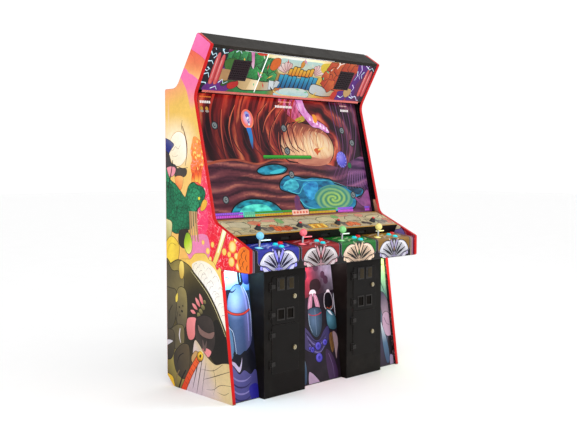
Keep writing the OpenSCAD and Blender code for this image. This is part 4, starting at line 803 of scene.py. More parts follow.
    # hanging stone folds, upper left
    for k in range(16):
        x0 = -590 + 42 * k; bend = -30 + 10 * (k % 3)
        A.line([(x0 + 60, 700), (x0 + 20 + bend * 0.3, 600), (x0 + 6, 500), (x0 + 26, 410), (x0 + 80, 330 + 3 * k)], 12 + 5 * (k % 3), lambda x, y, k=k: stops(np.clip((y - 330) / 370, 0, 1), [(0, C(60, 20, 34)), (0.5, C(116, 34, 36) if k % 2 else C(70, 18, 28)), (1, C(206, 56, 40) if k % 2 else C(140, 30, 30))]), 4, 10, glow=1.0)
    for k in range(22):
        R = 150 + 27 * k + 9 * ((k * 5) % 4); t0 = 112 + 13 * ((k * 7) % 5); t1 = t0 + 34 + 8 * ((k * 3) % 4)
        P = []
        for j in range(6):
            th = math.radians(t0 + (t1 - t0) * j / 5); rr = R * (1 + 0.035 * math.sin(3 * th + k))
            P.append((cx + 1.3 * rr * math.cos(th), cy + rr * math.sin(th)))
        P = [p for p in P if 326 < p[1] < 690 and p[0] > -625 and not (-350 < p[0] < -225 and 380 < p[1] < 620)]
        if len(P) > 3:
            A.line([(p[0] - 8, p[1] - 4) for p in P], 2, C(44, 10, 20), 2, 9, glow=1.0)
            A.line(P, 2, lambda x, y: stops(np.clip((y - 330) / 320, 0, 1), [(0, C(120, 50, 54)), (0.5, C(196, 88, 66)), (1, C(240, 120, 80))]), 1.5, 5 + 2 * (k % 3), glow=1.05)
    # blue pools
    def pool(c0, c1, seed):
        return lambda x, y: stops(fbm(x / 34, y / 13, seed, 3), [(0.15, c0), (0.55, c1), (0.9, c1 * 1.5 + 0.03)])
    A.add(smooth([(-266, 262), (-226, 284), (-160, 296), (-96, 294), (-46, 276), (-80, 252), (-160, 244), (-230, 244)]), pool(C(8, 34, 56), C(20, 140, 170), 3), glow=1.1, ink=9, inkc=C(30, 10, 18))
    A.add(smooth([(-180, 252), (-120, 270), (-60, 274), (-90, 254), (-150, 246)]), C(60, 190, 206), glow=1.2)
    A.add(smooth([(-112, 160), (-104, 200), (-50, 232), (30, 226), (90, 214), (150, 220), (220, 214), (290, 206), (330, 180), (420, 160), (520, 152), (566, 140), (548, 110), (500, 96), (470, 40), (380, 20), (240, 18), (140, 26), (60, 40), (30, 80), (10, 120), (-50, 140)], 8),
          pool(C(10, 40, 84), C(20, 120, 160), 8), glow=1.1, ink=8, inkc=C(24, 12, 30))
    A.add(smooth([(-96, 166), (-60, 204), (10, 206), (30, 170), (-10, 150), (-60, 150)]), pool(C(20, 110, 150), C(70, 190, 206), 4), glow=1.15)
    A.add(smooth([(60, 180), (110, 196), (180, 190), (170, 130), (120, 90), (80, 110)]), pool(C(16, 90, 160), C(50, 160, 210), 5), glow=1.15)
    def whirl(x, y):
        r = np.hypot((x - 300) / 1.9, (y - 92)); a = np.arctan2(y - 92, (x - 300) / 1.9)
        s = 0.5 + 0.5 * np.sin(r / 3.6 - a * 2 + 2 * fbm(x / 40, y / 30, 3))
        e = np.clip(r / 96, 0, 1)
        c = stops(s, [(0, C(40, 120, 96)), (1, C(170, 206, 96))]); d = C(24, 128, 140)
        return c * (1 - e[..., None] ** 2) + d * e[..., None] ** 2
    A.add(smooth([(140, 100), (190, 150), (280, 176), (380, 164), (450, 120), (460, 70), (400, 34), (290, 24), (190, 36)], 8), whirl, glow=1.2)
    A.add(smooth([(420, 160), (520, 152), (562, 138), (520, 112), (470, 130)]), pool(C(6, 20, 46), C(14, 60, 90), 6), glow=1.0)
    for p in (((-90, 176), (-20, 214), (80, 204), (170, 206), (300, 196), (430, 160)), ((20, 96), (70, 52), (170, 34), (300, 24), (420, 34)), ((-60, 150), (20, 130), (60, 170), (120, 196))):
        A.line(list(p), 5, C(80, 200, 214), 1, 4, glow=1.1)
    A.add(smooth([(470, 110), (500, 70), (540, 40), (610, 30), (610, 140), (560, 110), (520, 84)]), lambda x, y: stops(fbm(x / 30, y / 20, 3), [(0, C(86, 40, 96)), (1, C(196, 110, 176))]), glow=1.0, ink=3, inkc=C(60, 20, 50))
    A.add(smooth([(-488, 36), (-452, 74), (-380, 100), (-290, 102), (-200, 84), (-150, 52), (-150, 16), (-480, 16)]), pool(C(10, 44, 70), C(20, 150, 170), 2), glow=1.15, ink=8, inkc=C(28, 14, 26))
    A.add(smooth([(-440, 30), (-400, 66), (-320, 78), (-240, 70), (-200, 40), (-210, 12), (-430, 12)]), pool(C(20, 130, 140), C(80, 210, 190), 7), glow=1.25)
    # right wall in violet stone
    for k in range(9):
        x0 = 408 + 24 * k; A.line([(x0 - 20, 690), (x0 - 6, 560), (x0 + 6 - 5 * k, 420), (x0 - 30 - 8 * k, 300), (x0 - 90 - 9 * k, 210)], 8, C(66, 34, 60) if k % 2 else C(110, 60, 104), 3, 7, glow=1.0)
    for k in range(8):
        A.line([(470 + 18 * k, 260), (440 + 22 * k, 190), (430 + 26 * k, 150)], 3, C(176, 120, 190), 1, glow=1.0)
    # bubble, tokens, bars
    A.add(ell(420, 330, 44, 50, 0, 24), radial((410, 344), 60, 60, (0, C(150, 140, 236)), (0.6, C(96, 92, 206)), (1, C(70, 66, 170))), glow=1.15)
    for a in range(0, 360, 30):
        A.line([(420 + 34 * math.cos(math.radians(a)), 330 + 38 * math.sin(math.radians(a))), (420 + 44 * math.cos(math.radians(a + 14)), 330 + 50 * math.sin(math.radians(a + 14)))], 3, C(190, 186, 250), 1, glow=1.2, n=2)
    A.add(ell(482, 294, 16, 18, 0, 14), C(40, 110, 70), glow=1.0, ink=2)
    for x, y in ((-520, 512), (-20, 512), (462, 512), (-20, 378), (-516, 108), (-14, 240), (472, 110), (536, 436)):
        A.add(ell(x, y, 20, 21, 0, 20), C(66, 70, 76), glow=1.0, ink=2.5); A.add(ell(x, y, 15, 16, 0, 18), C(138, 146, 148), glow=1.0)
        A.add(ell(x, y, 9, 10, 0, 14), C(66, 74, 80), glow=1.0); A.add(ell(x + 2, y + 2, 4.5, 4.5, 0, 10), C(150, 160, 160), glow=1.0)
    A.add(ell(-285, 556, 44, 56, 0, 26), radial((-285, 560), 46, 58, (0, C(200, 196, 236)), (0.45, C(220, 160, 190)), (0.8, C(236, 96, 70)), (1, C(250, 150, 110))), glow=1.2)
    for k in range(6):
        A.add(smooth([(-300 + 5 * k, 590 - 14 * k), (-284 + 3 * k, 600 - 15 * k), (-268 - 2 * k, 584 - 10 * k), (-284, 572 - 10 * k)]), (C(150, 160, 226), C(90, 90, 190), C(226, 230, 246))[k % 3], glow=1.15, ink=1)
    A.add(smooth([(-300, 504), (-280, 506), (-268, 504), (-264, 450), (-270, 410), (-276, 386), (-286, 420), (-290, 460)]), grad((-280, 504), (-276, 390), (0, C(50, 120, 206)), (0.6, C(40, 130, 190)), (1, C(70, 60, 120))), glow=1.1)
    A.add(rrect(-208, 334, 166, 352, 6, 3), grad((0, 352), (0, 334), (0, C(70, 190, 60)), (1, C(20, 110, 30))), glow=1.05, ink=2, inkc=C(10, 50, 14))
    for k in range(18):
        A.add(ell(-198 + 21 * k, 336, 8, 4, 0, 8), C(30, 130, 44), glow=1.0)
    for x0, x1, c0, c1 in ((-600, -412, C(150, 90, 226), C(200, 80, 206)), (-404, -300, C(90, 190, 160), C(120, 206, 150)), (-330, -40, C(60, 150, 50), C(206, 160, 30)), (80, 300, C(60, 150, 50), C(206, 160, 30)), (318, 450, C(150, 90, 226), C(200, 80, 206)), (556, 600, C(130, 80, 206), C(180, 70, 190))):
        A.add([(x0, 10), (x1, 10), (x1, 24), (x0, 24)], c1 * 0.75, glow=1.0); A.add([(x0, 26), (x1, 26), (x1, 38), (x0, 38)], c0 * 0.85, glow=1.0)
        n = int((x1 - x0) / 12)
        for k in range(n):
            x = x0 + 6 + 12 * k; A.add([(x - 4, 12), (x + 2, 12), (x + 5, 22), (x - 1, 22)], c1 * 1.25, glow=1.1); A.add([(x - 4, 28), (x + 2, 28), (x + 5, 36), (x - 1, 36)], c0 * 1.2, glow=1.1)
    A.add(rrect(-54, 8, 76, 36, 4, 3), C(244, 196, 176), glow=1.2, ink=2, inkc=C(190, 60, 40))
    for k in range(5):
        A.add(rrect(-44 + 24 * k, 15, -28 + 24 * k, 28, 3, 2), C(226, 110, 84), glow=1.1)
    A.add(smooth([(-20, 36), (-24, 80), (-16, 110), (6, 120), (22, 100), (18, 60), (24, 36)]), lambda x, y: stops(fbm(x / 12, y / 12, 3), [(0, C(66, 40, 110)), (1, C(150, 70, 90))]), glow=1.0)
    # plain counters: rows of small dots, no figures
    for x0, n, c in ((-600, 6, C(236, 130, 50)), (-40, 8, C(240, 160, 130)), (470, 5, C(226, 180, 170))):
        for k in range(n):
            A.add(ell(x0 + 12 + 13 * k, 668, 4.5, 4.5, 0, 8), c, glow=1.2)
    for x0, n in ((-598, 6), (-64, 11), (476, 6)):
        for k in range(n):
            A.add(rrect(x0 + 2 + 12 * k, 632, x0 + 11 + 12 * k, 646, 2, 2), C(240, 232, 230), glow=1.25)
    for k in range(2):
        A.add(ell(-590 + 34 * k, 602, 10, 12, 0, 12), C(206, 150, 60), glow=1.0, ink=1.5); A.add(ell(-590 + 34 * k, 588, 12, 7, 0, 12), C(170, 160, 150), glow=1.0)
    return A


# ------------------------------------------------------------------ instruction shelf, plane (x, up the slope)
def shelf_art():
    L = shelf_len
    A = Art(mottled(grad((0, 0), (0, L), (0, C(176, 158, 122)), (0.5, C(196, 182, 142)), (1, C(186, 168, 130))), 0.12, 30, 3), fx=(0, 1, 0))
    # long slabs of pale stone with dark joints
    for k, (x0, x1) in enumerate(((-600, -450), (-380, -250), (-90, 60), (60, 200), (290, 400), (470, 610), (-240, -100))):
        y1 = 152 - 6 * (k % 3); y0 = 88 + 10 * (k % 2)
        P = [(x0, y0 + 8), (x0 + 24, y0 - 4), ((x0 + x1) / 2, y0 + 6 * (k % 2)), (x1 - 16, y0 - 6), (x1, y0 + 20), (x1 - 10, y1 - 6), ((x0 + x1) / 2 + 10, y1 + 4), (x0 + 20, y1 - 4), (x0 - 6, (y0 + y1) / 2)]
        A.add(np.array(P), mottled(C(204, 190, 148) if k % 2 else C(192, 180, 146), 0.10, 26, k), fx=(0, 0.5, 0), ink=4.4, inkc=C(44, 34, 24))
    for x, y, rx, ry, c in ((-400, 132, 44, 26, C(208, 124, 92)), (-288, 150, 60, 16, C(214, 150, 128)), (-218, 138, 26, 34, C(120, 166, 104)), (-470, 160, 50, 10, C(200, 176, 130)), (226, 150, 30, 20, C(120, 170, 100)), (300, 158, 60, 12, C(206, 140, 120)),
                            (436, 150, 34, 22, C(216, 148, 122)), (520, 66, 56, 30, C(176, 190, 148)), (-308, 66, 30, 34, C(206, 110, 64)), (-280, 56, 18, 26, C(226, 96, 44)), (-520, 56, 50, 20, C(184, 178, 140)), (-566, 78, 40, 22, C(190, 172, 130)),
                            (300, 48, 26, 18, C(226, 110, 50)), (276, 62, 18, 20, C(206, 100, 66)), (-60, 40, 40, 18, C(206, 158, 60)), (124, 50, 40, 22, C(196, 150, 90)), (-600, 130, 24, 30, C(206, 196, 156)), (600, 60, 30, 40, C(196, 120, 96))):
        P = smooth([(x + rx * math.cos(a) * (0.8 + 0.3 * _hash(np.array(i), np.array(int(x)), 3)), y + ry * math.sin(a) * (0.8 + 0.3 * _hash(np.array(i), np.array(int(y)), 5))) for i, a in enumerate(np.linspace(0, 2 * math.pi, 9, endpoint=False))], 2)
        A.add(P, mottled(c, 0.16, 18, 4), fx=(0, 0.5, 0), ink=1.8, inkc=C(70, 50, 34))
    # broken rocks beside each start button
    for j, s in enumerate(STN):
        for dx, dy, r, c in ((64, -4, 30, C(128, 116, 102)), (104, 4, 22, C(110, 98, 86)), (46, 14, 18, C(96, 88, 82)), (-50, -12, 20, C(70, 58, 50) if j % 2 else C(150, 138, 112)), (-78, 0, 18, C(60, 44, 38) if j % 2 else C(176, 164, 130))):
            x = s + 17 + dx; y = 56 + dy
            P = np.array([(x - r, y - r * .45), (x - r * .2, y - r * .8), (x + r * .9, y - r * .5), (x + r, y + r * .1), (x + r * .2, y + r * .75), (x - r * .35, y + r * .5), (x - r * .9, y + r * .5)])
            A.add(P, mottled(grad((x - r, y - r), (x + r, y + r), (0, c * 0.75), (1, c * 1.2)), 0.2, 12, 3), ink=3, inkc=C(26, 20, 18))
            A.add(np.array([(x - r * .2, y - r * .8), (x + r * .9, y - r * .5), (x + r * .3, y - r * .1)]), c * 1.35)
    for x0, n, c in ((-306, 3, C(222, 98, 40)), (-250, 2, C(196, 84, 40)), (250, 3, C(216, 112, 60))):
        for k in range(n):
            x = x0 + 34 * k; y = 46 + 10 * (k % 2)
            A.add(np.array([(x - 22, y - 16), (x + 4, y - 24), (x + 26, y - 8), (x + 14, y + 20), (x - 12, y + 24)]), mottled(c, 0.25, 10, k), ink=3, inkc=C(70, 26, 14))
    A.add(rrect(-54, 26, 66, 78, 8, 3), mottled(grad((-54, 26), (66, 78), (0, C(222, 156, 30)), (1, C(236, 180, 60))), 0.24, 12, 6), ink=3, inkc=C(96, 56, 16))
    for k in range(5):
        x = -46 + 24 * k; A.add(smooth([(x, 34), (x + 16, 36), (x + 18, 60), (x + 8, 70), (x - 2, 56)], 3), C(206, 130, 20) if k % 2 else C(246, 206, 90), ink=1.5, inkc=C(110, 70, 20))
    for x0, y0, x1, y1 in ((-620, 96, -560, 20), (-470, 150, -440, 96), (-240, 60, -180, 90), (-120, 80, -90, 30), (200, 96, 250, 60), (330, 90, 380, 30), (560, 110, 610, 150), (-360, 100, -330, 40), (420, 96, 460, 84)):
        A.line([(x0, y0), ((x0 + x1) / 2 + 8, (y0 + y1) / 2 - 6), (x1, y1)], 5, C(40, 30, 22), 2, n=2)
    # border lines
    A.add([(-640, -5), (640, -5), (640, 9.5), (-640, 9.5)], mottled(C(196, 146, 44), 0.12, 30, 3)); A.add([(-640, 9.5), (640, 9.5), (640, 12), (-640, 12)], C(90, 60, 24))
    A.add([(-640, L - 9), (640, L - 9), (640, L + 4), (-640, L + 4)], mottled(C(176, 132, 64), 0.12, 30, 3)); A.add([(-640, L - 11), (640, L - 11), (640, L - 9), (-640, L - 9)], C(84, 60, 34))
    return A


# ------------------------------------------------------------------ deck skin, plane (x, a): a runs from the riser over the nose and down the front
PAN = ((C(44, 50, 164), C(64, 84, 210), C(150, 146, 250), C(206, 206, 232), C(236, 236, 248), C(40, 36, 92)),
       (C(150, 26, 32), C(196, 52, 60), C(206, 160, 170), C(196, 186, 190), C(226, 220, 222), C(76, 34, 38)),
       (C(20, 118, 40), C(40, 150, 66), C(240, 206, 176), C(232, 200, 172), C(250, 226, 204), C(46, 40, 36)),
       (C(150, 108, 34), C(178, 138, 58), C(170, 160, 196), C(206, 206, 216), C(232, 232, 240), C(56, 52, 66)))


def deck_art(a_nose, a_front, a_end):
    A = Art(mottled(C(17, 16, 17), 0.2, 40, 3))
    A.add([(-640, -10), (-612, -10), (-612, a_end + 5), (-640, a_end + 5)], mottled(C(120, 104, 122), 0.1, 30, 3)); A.add([(-636, -10), (-631, -10), (-631, a_end + 5), (-636, a_end + 5)], C(52, 46, 60)); A.add([(-621, -10), (-617, -10), (-617, a_end + 5), (-621, a_end + 5)], C(58, 50, 66))
    A.add([(606, -10), (640, -10), (640, a_end + 5), (606, a_end + 5)], mottled(C(110, 40, 66), 0.1, 30, 3)); A.add([(612, -10), (618, -10), (618, a_end + 5), (612, a_end + 5)], C(150, 132, 156)); A.add([(600, -10), (606, -10), (606, a_end + 5), (600, a_end + 5)], C(196, 170, 140))
    for i, s in enumerate(STN):
        c0, c1, tint, mid, hi, dark = PAN[i]
        cut_a = a_front + 62
        P = np.concatenate([[(s - 139, -8), (s - 139, cut_a - 18)], [(s - 139 + 18 * (1 - math.cos(t)), cut_a - 18 + 18 * math.sin(t)) for t in np.linspace(0.2, math.pi / 2, 5)],
                            [(s + 139 - 18 * (1 - math.cos(t)), cut_a - 18 + 18 * math.sin(t)) for t in np.linspace(math.pi / 2, 0.2, 5)], [(s + 139, cut_a - 18), (s + 139, -8)]])
        A.add(grown(P, 3.2), C(150, 140, 168)); A.add(grown(P, 1.6), C(20, 18, 24))
        A.add(P, mottled(lambda x, y, c0=c0, c1=c1, s=s: stops(np.clip(np.hypot((x - s - 20) / 150, (y - 60) / 120), 0, 1), [(0, c1), (0.6, c0 * 1.1), (1, c0 * 0.75)]), 0.10, 40, 5), fx=(0, 0.0, 0))
        # wisps on the deck top
        for q, w in ((((s - 120, a_nose - 20), (s - 80, a_nose - 60), (s - 20, a_nose - 74), (s + 30, a_nose - 110)), 10), (((s - 60, a_nose - 8), (s - 30, a_nose - 40), (s + 10, a_nose - 60), (s + 90, a_nose - 70)), 13), (((s - 110, a_nose - 90), (s - 60, a_nose - 110), (s, a_nose - 128)), 8), (((s + 60, a_nose - 20), (s + 110, a_nose - 40), (s + 130, a_nose - 80)), 9)):
            A.line(list(q), 2, (c1 + mid * 0.5) * 0.75, 2, w); A.line([(u + 4, v + 4) for u, v in q], 1.5, hi * 0.6 + c1 * 0.3, 1, w * 0.3)
        cy = a_front + 86
        # open fan: one broad plate each side with radiating lines and dark gaps, a lobe below, a notched centre
        for sd in (-1, 1):
            def at(dx, dy, sd=sd):
                return (s + sd * dx, cy + dy)
            def ray(a, r, sd=sd):
                return (s + sd * r * math.cos(math.radians(a)), cy + 8 - 0.92 * r * math.sin(math.radians(a)))
            A.add(smooth([at(52, 8), at(66, -14), at(92, -26), at(118, -26), at(124, -4), at(104, min(22, a_end - cy - 8)), at(74, min(26, a_end - cy - 6))]), grad(at(52, 10), at(122, -20), (0, tint * 0.55), (0.5, tint), (1, tint * 1.1)), ink=4.5, inkc=dark * 0.35)
            A.add(smooth([at(70, 10), at(90, -8), at(110, -12), at(100, 8), at(80, 16)]), hi * 0.55 + tint * 0.3, ink=2.4, inkc=dark * 0.35)
            W = smooth([at(8, 4), at(14, -44), at(34, -76), at(58, -86), at(92, -76), at(116, -52), at(126, -30), at(112, -22), at(84, -16), at(50, 4), at(24, 12)])
            A.add(W, grad(ray(20, 20), ray(50, 122), (0, mid * 0.42), (0.45, mid * 0.8), (0.8, mid * 0.85), (1, hi * 0.85)), ink=5, inkc=dark * 0.25)
            for a in range(24, 82, 7):
                A.line([ray(a, 34), ray(a + 1.5, 76), ray(a, 104)], 2.2, dark * 0.9 + 0.01, 1.2, 2.4, n=2)
            for a in (30, 51, 70):
                A.line([ray(a, 22), ray(a + 2, 66), ray(a, 114)], 4, dark * 0.22, 4, 12, n=3)
            A.line([ray(22, 116), ray(38, 120), ray(54, 112), ray(68, 104), ray(80, 92)], 3, hi, 2, 6)
            A.add(np.array([at(6, -60), at(26, -96), at(34, -84), at(20, -52), at(8, -30)]), tint * 0.9, ink=3.2, inkc=dark * 0.3)
            A.line([at(40, -90), at(34, -106), at(24, -112)], 4, hi * 0.9, 1.5, n=2)
        A.add(np.array([(s, cy - 44), (s + 12, cy - 84), (s + 20, cy - 100), (s - 20, cy - 100), (s - 12, cy - 84)]), dark * 0.5, ink=2.5, inkc=dark * 0.25)
        A.add(np.array([(s, cy - 52), (s + 8, cy - 80), (s, cy - 92), (s - 8, cy - 80)]), mid * 0.8, ink=2, inkc=dark * 0.3)
        A.add(np.array([(s, cy - 34), (s + 10, cy - 6), (s + 6, min(cy + 22, a_end - 6)), (s - 6, min(cy + 22, a_end - 6)), (s - 10, cy - 6)]), grad((s, cy - 34), (s, cy + 20), (0, dark * 0.6), (0.5, tint * 0.8), (1, tint * 0.5)), ink=3, inkc=dark * 0.3)
        A.add(ell(s, cy + 2, 9, 10, 0, 14), tint * 1.05, ink=3, inkc=dark * 0.3)
        A.add(np.array([(s - 28, a_end - 4), (s - 20, a_end - 12), (s + 20, a_end - 12), (s + 28, a_end - 4)]), tint * 0.6, ink=1.8, inkc=dark * 0.4)
    return A


# ------------------------------------------------------------------ leaning boards beside the towers, plane (x, z)
def kick_art():
    # the ground gets darker low down and lighter blue at the top: a dark printed ground with a painted glow of the
    # light under the deck
    A = Art(mottled(lambda x, y: stops(y, [(0, C(30, 24, 46)), (200, C(26, 24, 40)), (420, C(24, 30, 48)), (600, C(30, 50, 80)), (680, C(70, 110, 150))]), 0.4, 60, 3))
    # left board: its top band is printed art brightened towards the upper edge by a painted cyan-white glow of the
    # light under the deck
    def glowtop(x, y):
        t = np.clip((y - 560) / 110, 0, 1)[..., None]; u = np.clip((x + 640) / 190, 0, 1)[..., None]
        return (C(70, 150, 214) * (1 - t) + C(250, 254, 255) * t) * (1 - 0.62 * u) + C(44, 50, 140) * 0.6 * u
    A.add([(-640, 560), (-456, 560), (-456, 690), (-640, 690)], mottled(glowtop, 0.1, 30, 3))
    A.add(smooth([(-530, 690), (-500, 690), (-498, 600), (-528, 600)]), mottled(C(16, 20, 34), 0.2, 10)); A.line([(-516, 690), (-514, 606)], 3, C(206, 240, 255), 2, n=2)
    A.add(smooth([(-500, 690), (-456, 690), (-456, 600), (-480, 590), (-498, 610)]), mottled(grad((-500, 690), (-460, 600), (0, C(90, 90, 190)), (1, C(28, 34, 96))), 0.2, 20, 4))
    A.line([(-610, 640), (-590, 632), (-600, 624)], 5, C(20, 40, 70), 2)
    A.add(smooth([(-640, 560), (-600, 572), (-560, 566), (-600, 520), (-640, 500)]), mottled(C(20, 26, 44), 0.3, 14), ink=2)
    # pod
    P = smooth([(-618, 330), (-622, 440), (-606, 530), (-566, 586), (-520, 590), (-484, 540), (-468, 460), (-466, 360), (-478, 290), (-520, 250), (-560, 236), (-600, 270)])
    def pod(x, y):
        r = np.clip(1 - np.hypot((x + 560) / 72, (y - 505) / 92), 0, 1)[..., None]
        base = stops(x, [(-620, C(60, 84, 128)), (-575, C(90, 112, 160)), (-520, C(74, 94, 142)), (-496, C(120, 116, 176)), (-466, C(70, 74, 120))])
        v = np.clip((y - 240) / 330, 0, 1)[..., None]
        return base * (0.62 + 0.42 * v) * (1 - r) + C(176, 190, 244) * r
    A.add(P, mottled(pod, 0.06, 30, 3), ink=4, inkc=C(14, 18, 34))
    A.line([(-512, 586), (-492, 520), (-486, 420), (-492, 300)], 9, C(150, 140, 206), 3, 11); A.line([(-500, 580), (-474, 520), (-466, 420), (-472, 320)], 4, C(206, 200, 240), 1, 4)
    A.line([(-621, 470), (-590, 452), (-550, 442), (-508, 444), (-469, 462)], 14, C(30, 26, 44), 14); A.line([(-621, 470), (-590, 452), (-550, 442), (-508, 444), (-469, 462)], 9, C(222, 62, 48), 9)
    A.line([(-610, 572), (-574, 560), (-548, 574)], 10, C(14, 18, 30), 2, 8); A.add(smooth([(-640, 420), (-616, 400), (-596, 330), (-600, 250), (-620, 220), (-640, 230)]), mottled(C(96, 130, 170), 0.15, 20), ink=3)
    A.line([(-622, 388), (-594, 360), (-584, 300), (-582, 240)], 3, C(220, 230, 250), 1.5)
    A.add(smooth([(-600, 250), (-560, 236), (-520, 250), (-500, 200), (-520, 170), (-560, 190), (-590, 214)]), mottled(C(18, 18, 32), 0.3, 16), ink=2)
    A.add(smooth([(-490, 260), (-470, 230), (-456, 170), (-456, 60), (-500, 150), (-510, 220)]), mottled(C(20, 20, 30), 0.3, 16))
    A.add(smooth([(-630, 214), (-600, 180), (-574, 150), (-556, 176), (-548, 222), (-556, 200), (-572, 176), (-598, 204)]), C(196, 180, 212), ink=2.5)
    A.add(smooth([(-640, 200), (-604, 176), (-574, 140), (-540, 156), (-500, 130), (-470, 150), (-456, 120), (-456, -10), (-640, -10)]), mottled(grad((-640, 190), (-500, 0), (0, C(104, 94, 150)), (0.5, C(78, 74, 132)), (1, C(60, 56, 120))), 0.1, 30, 4), ink=3)
    for k in range(4):
        A.line([(-636, 150 - 36 * k), (-590, 112 - 34 * k), (-540, 104 - 32 * k), (-500, 120 - 30 * k)], 7, C(44, 38, 84) if k % 2 else C(130, 120, 176), 2, 9)
    A.add(smooth([(-520, 60), (-480, 80), (-456, 60), (-456, -10), (-500, -10)]), C(40, 34, 140))
    # middle board: the pink top band fades darker downwards, a painted glow of the light under the deck over the
    # printed art
    A.add([(-170, 420), (170, 420), (170, 690), (-170, 690)], mottled(lambda x, y: stops(x + 0.2 * (y - 600), [(-120, C(206, 70, 96)), (-40, C(190, 66, 92)), (10, C(112, 56, 76)), (60, C(88, 70, 86)), (130, C(150, 140, 160)), (176, C(160, 156, 176))]) * np.clip((y - 430) / 200, 0.10, 1)[..., None], 0.6, 20, 6))
    for x, y, r in ((-60, 600, 24), (-120, 640, 16), (40, 640, 20), (90, 590, 16), (-20, 660, 14), (110, 560, 18), (-130, 560, 18)):
        A.add(smooth([(x + r * math.cos(a) * (1 + 0.4 * (k % 2)), y + r * math.sin(a) * (1 + 0.4 * ((k + 1) % 2))) for k, a in enumerate(np.linspace(0, 2 * math.pi, 8, endpoint=False))], 2), mottled(C(66, 40, 58), 0.4, 10, 3))
    A.add(smooth([(60, 690), (100, 660), (150, 640), (176, 650), (176, 690)]), mottled(C(206, 204, 218), 0.2, 18, 3)); A.add(smooth([(-10, 560), (30, 572), (60, 560), (66, 520), (20, 500), (-20, 520)]), mottled(C(38, 20, 26), 0.3, 14))
    A.add([(-170, -10), (170, -10), (170, 500), (-170, 460)], mottled(C(30, 20, 32), 0.5, 40, 3))
    for x, y, w in ((-2, 506, 26), (120, 496, 16)):
        A.add(smooth([(x - w, y - 12), (x - w * .6, y + 4), (x, y + 8), (x + w * .7, y + 4), (x + w, y - 14), (x + 4, y - 28), (x - 6, y - 28)]), C(240, 232, 240), ink=2)
    for sd in (-1, 1):
        A.add(smooth([(-2 + sd * 6, 488), (-2 + sd * 30, 476), (-2 + sd * 46, 420), (-2 + sd * 40, 384), (-2 + sd * 22, 400), (-2 + sd * 10, 440)]), mottled(C(196, 140, 166), 0.2, 14), ink=3, inkc=C(24, 10, 18))
        A.line([(-2 + sd * 14, 478), (-2 + sd * 30, 440), (-2 + sd * 34, 400)], 3, C(240, 210, 226), 1)
    A.add(smooth([(96, 480), (84, 430), (92, 400), (116, 392), (144, 400), (150, 440), (136, 482)]), C(18, 16, 22), ink=4, inkc=C(206, 200, 210)); A.line([(100, 404), (120, 396), (140, 408)], 5, C(206, 90, 50), 2)
    def pod2(c, x0, y0, rx, ry):
        return lambda x, y: stops(np.hypot((x - x0 + rx * .25) / rx, (y - y0 - ry * .2) / ry), [(0, c * 1.5 + 0.02), (0.5, c), (1.1, c * 0.4)])
    A.add(smooth([(-52, 392), (-40, 408), (0, 414), (44, 406), (56, 380), (50, 320), (30, 270), (0, 250), (-30, 270), (-50, 320)]), pod2(C(70, 96, 124), 0, 330, 56, 84), ink=4, inkc=C(16, 12, 24))
    A.line([(4, 404), (2, 330), (0, 262)], 4, C(120, 140, 170), 2); A.line([(-46, 384), (-48, 330), (-30, 280)], 4, C(176, 196, 214), 1.5); A.line([(-46, 384), (-20, 372), (22, 372), (52, 382)], 5, C(176, 44, 62), 5)
    A.add(smooth([(96, 390), (130, 384), (158, 350), (176, 300), (150, 276), (110, 284), (92, 320)]), pod2(C(70, 120, 140), 126, 330, 46, 60), ink=4, inkc=C(14, 14, 24)); A.add(smooth([(102, 388), (124, 380), (140, 356), (120, 366)]), C(220, 230, 240))
    A.add(smooth([(160, 470), (172, 470), (176, 400), (170, 330), (160, 380)]), C(206, 206, 220), ink=2)
    A.add(smooth([(-160, 300), (-110, 330), (-60, 290), (-20, 240), (20, 236), (60, 280), (96, 300), (100, 240), (60, 190), (0, 160), (-70, 180), (-120, 220)]), mottled(grad((-120, 300), (60, 180), (0, C(76, 66, 112)), (1, C(52, 44, 92))), 0.15, 24, 5), ink=3, inkc=C(14, 10, 24))
    for k in range(4):
        A.line([(-80 + 6 * k, 286 - 22 * k), (-30, 236 - 20 * k), (20, 226 - 20 * k), (76 - 6 * k, 262 - 20 * k)], 6, C(110, 100, 156) if k % 2 else C(36, 28, 66), 2, 7)
    for x, y, r in ((4, 200, 22), (4, 136, 25), (60, 214, 17), (-42, 186, 15), (-60, 196, 9)):
        A.add(ell(x, y, r, r, 0, 20), radial((x - r * .3, y + r * .3), r * 1.5, r * 1.5, (0, C(110, 100, 226)), (1, C(50, 40, 150))), ink=3, inkc=C(14, 10, 40)); A.add(ell(x + 1, y, r * .45, r * .45, 0, 12), C(54, 44, 150))
    A.add(smooth([(100, 250), (124, 262), (136, 230), (130, 180), (112, 150), (98, 200)]), mottled(C(110, 76, 40), 0.3, 10, 3), ink=2.5); A.line([(108, 250), (118, 200), (112, 160)], 3, C(30, 18, 10), 1)
    A.add(smooth([(128, 262), (156, 250), (166, 200), (150, 150), (140, 110), (132, 180)]), mottled(C(150, 126, 134), 0.2, 14, 3), ink=2.5)
    A.add(smooth([(-156, 190), (-140, 196), (-112, 150), (-100, 90), (-108, 20), (-140, -10), (-170, -10)]), mottled(grad((-150, 190), (-110, 0), (0, C(150, 160, 180)), (0.5, C(60, 84, 110)), (1, C(44, 60, 86))), 0.2, 20, 4), ink=2.5)
    A.add(smooth([(-84, 66), (-60, 58), (-30, 30), (-6, -4), (-40, -12), (-90, 0)]), mottled(C(176, 150, 178), 0.1, 18, 4), ink=2.5)
    A.add(smooth([(60, 170), (100, 150), (130, 90), (140, 10), (80, -10), (60, 60)]), mottled(C(58, 34, 70), 0.2, 20, 4)); A.line([(80, 150), (104, 80), (110, 10)], 5, C(96, 70, 116), 2)
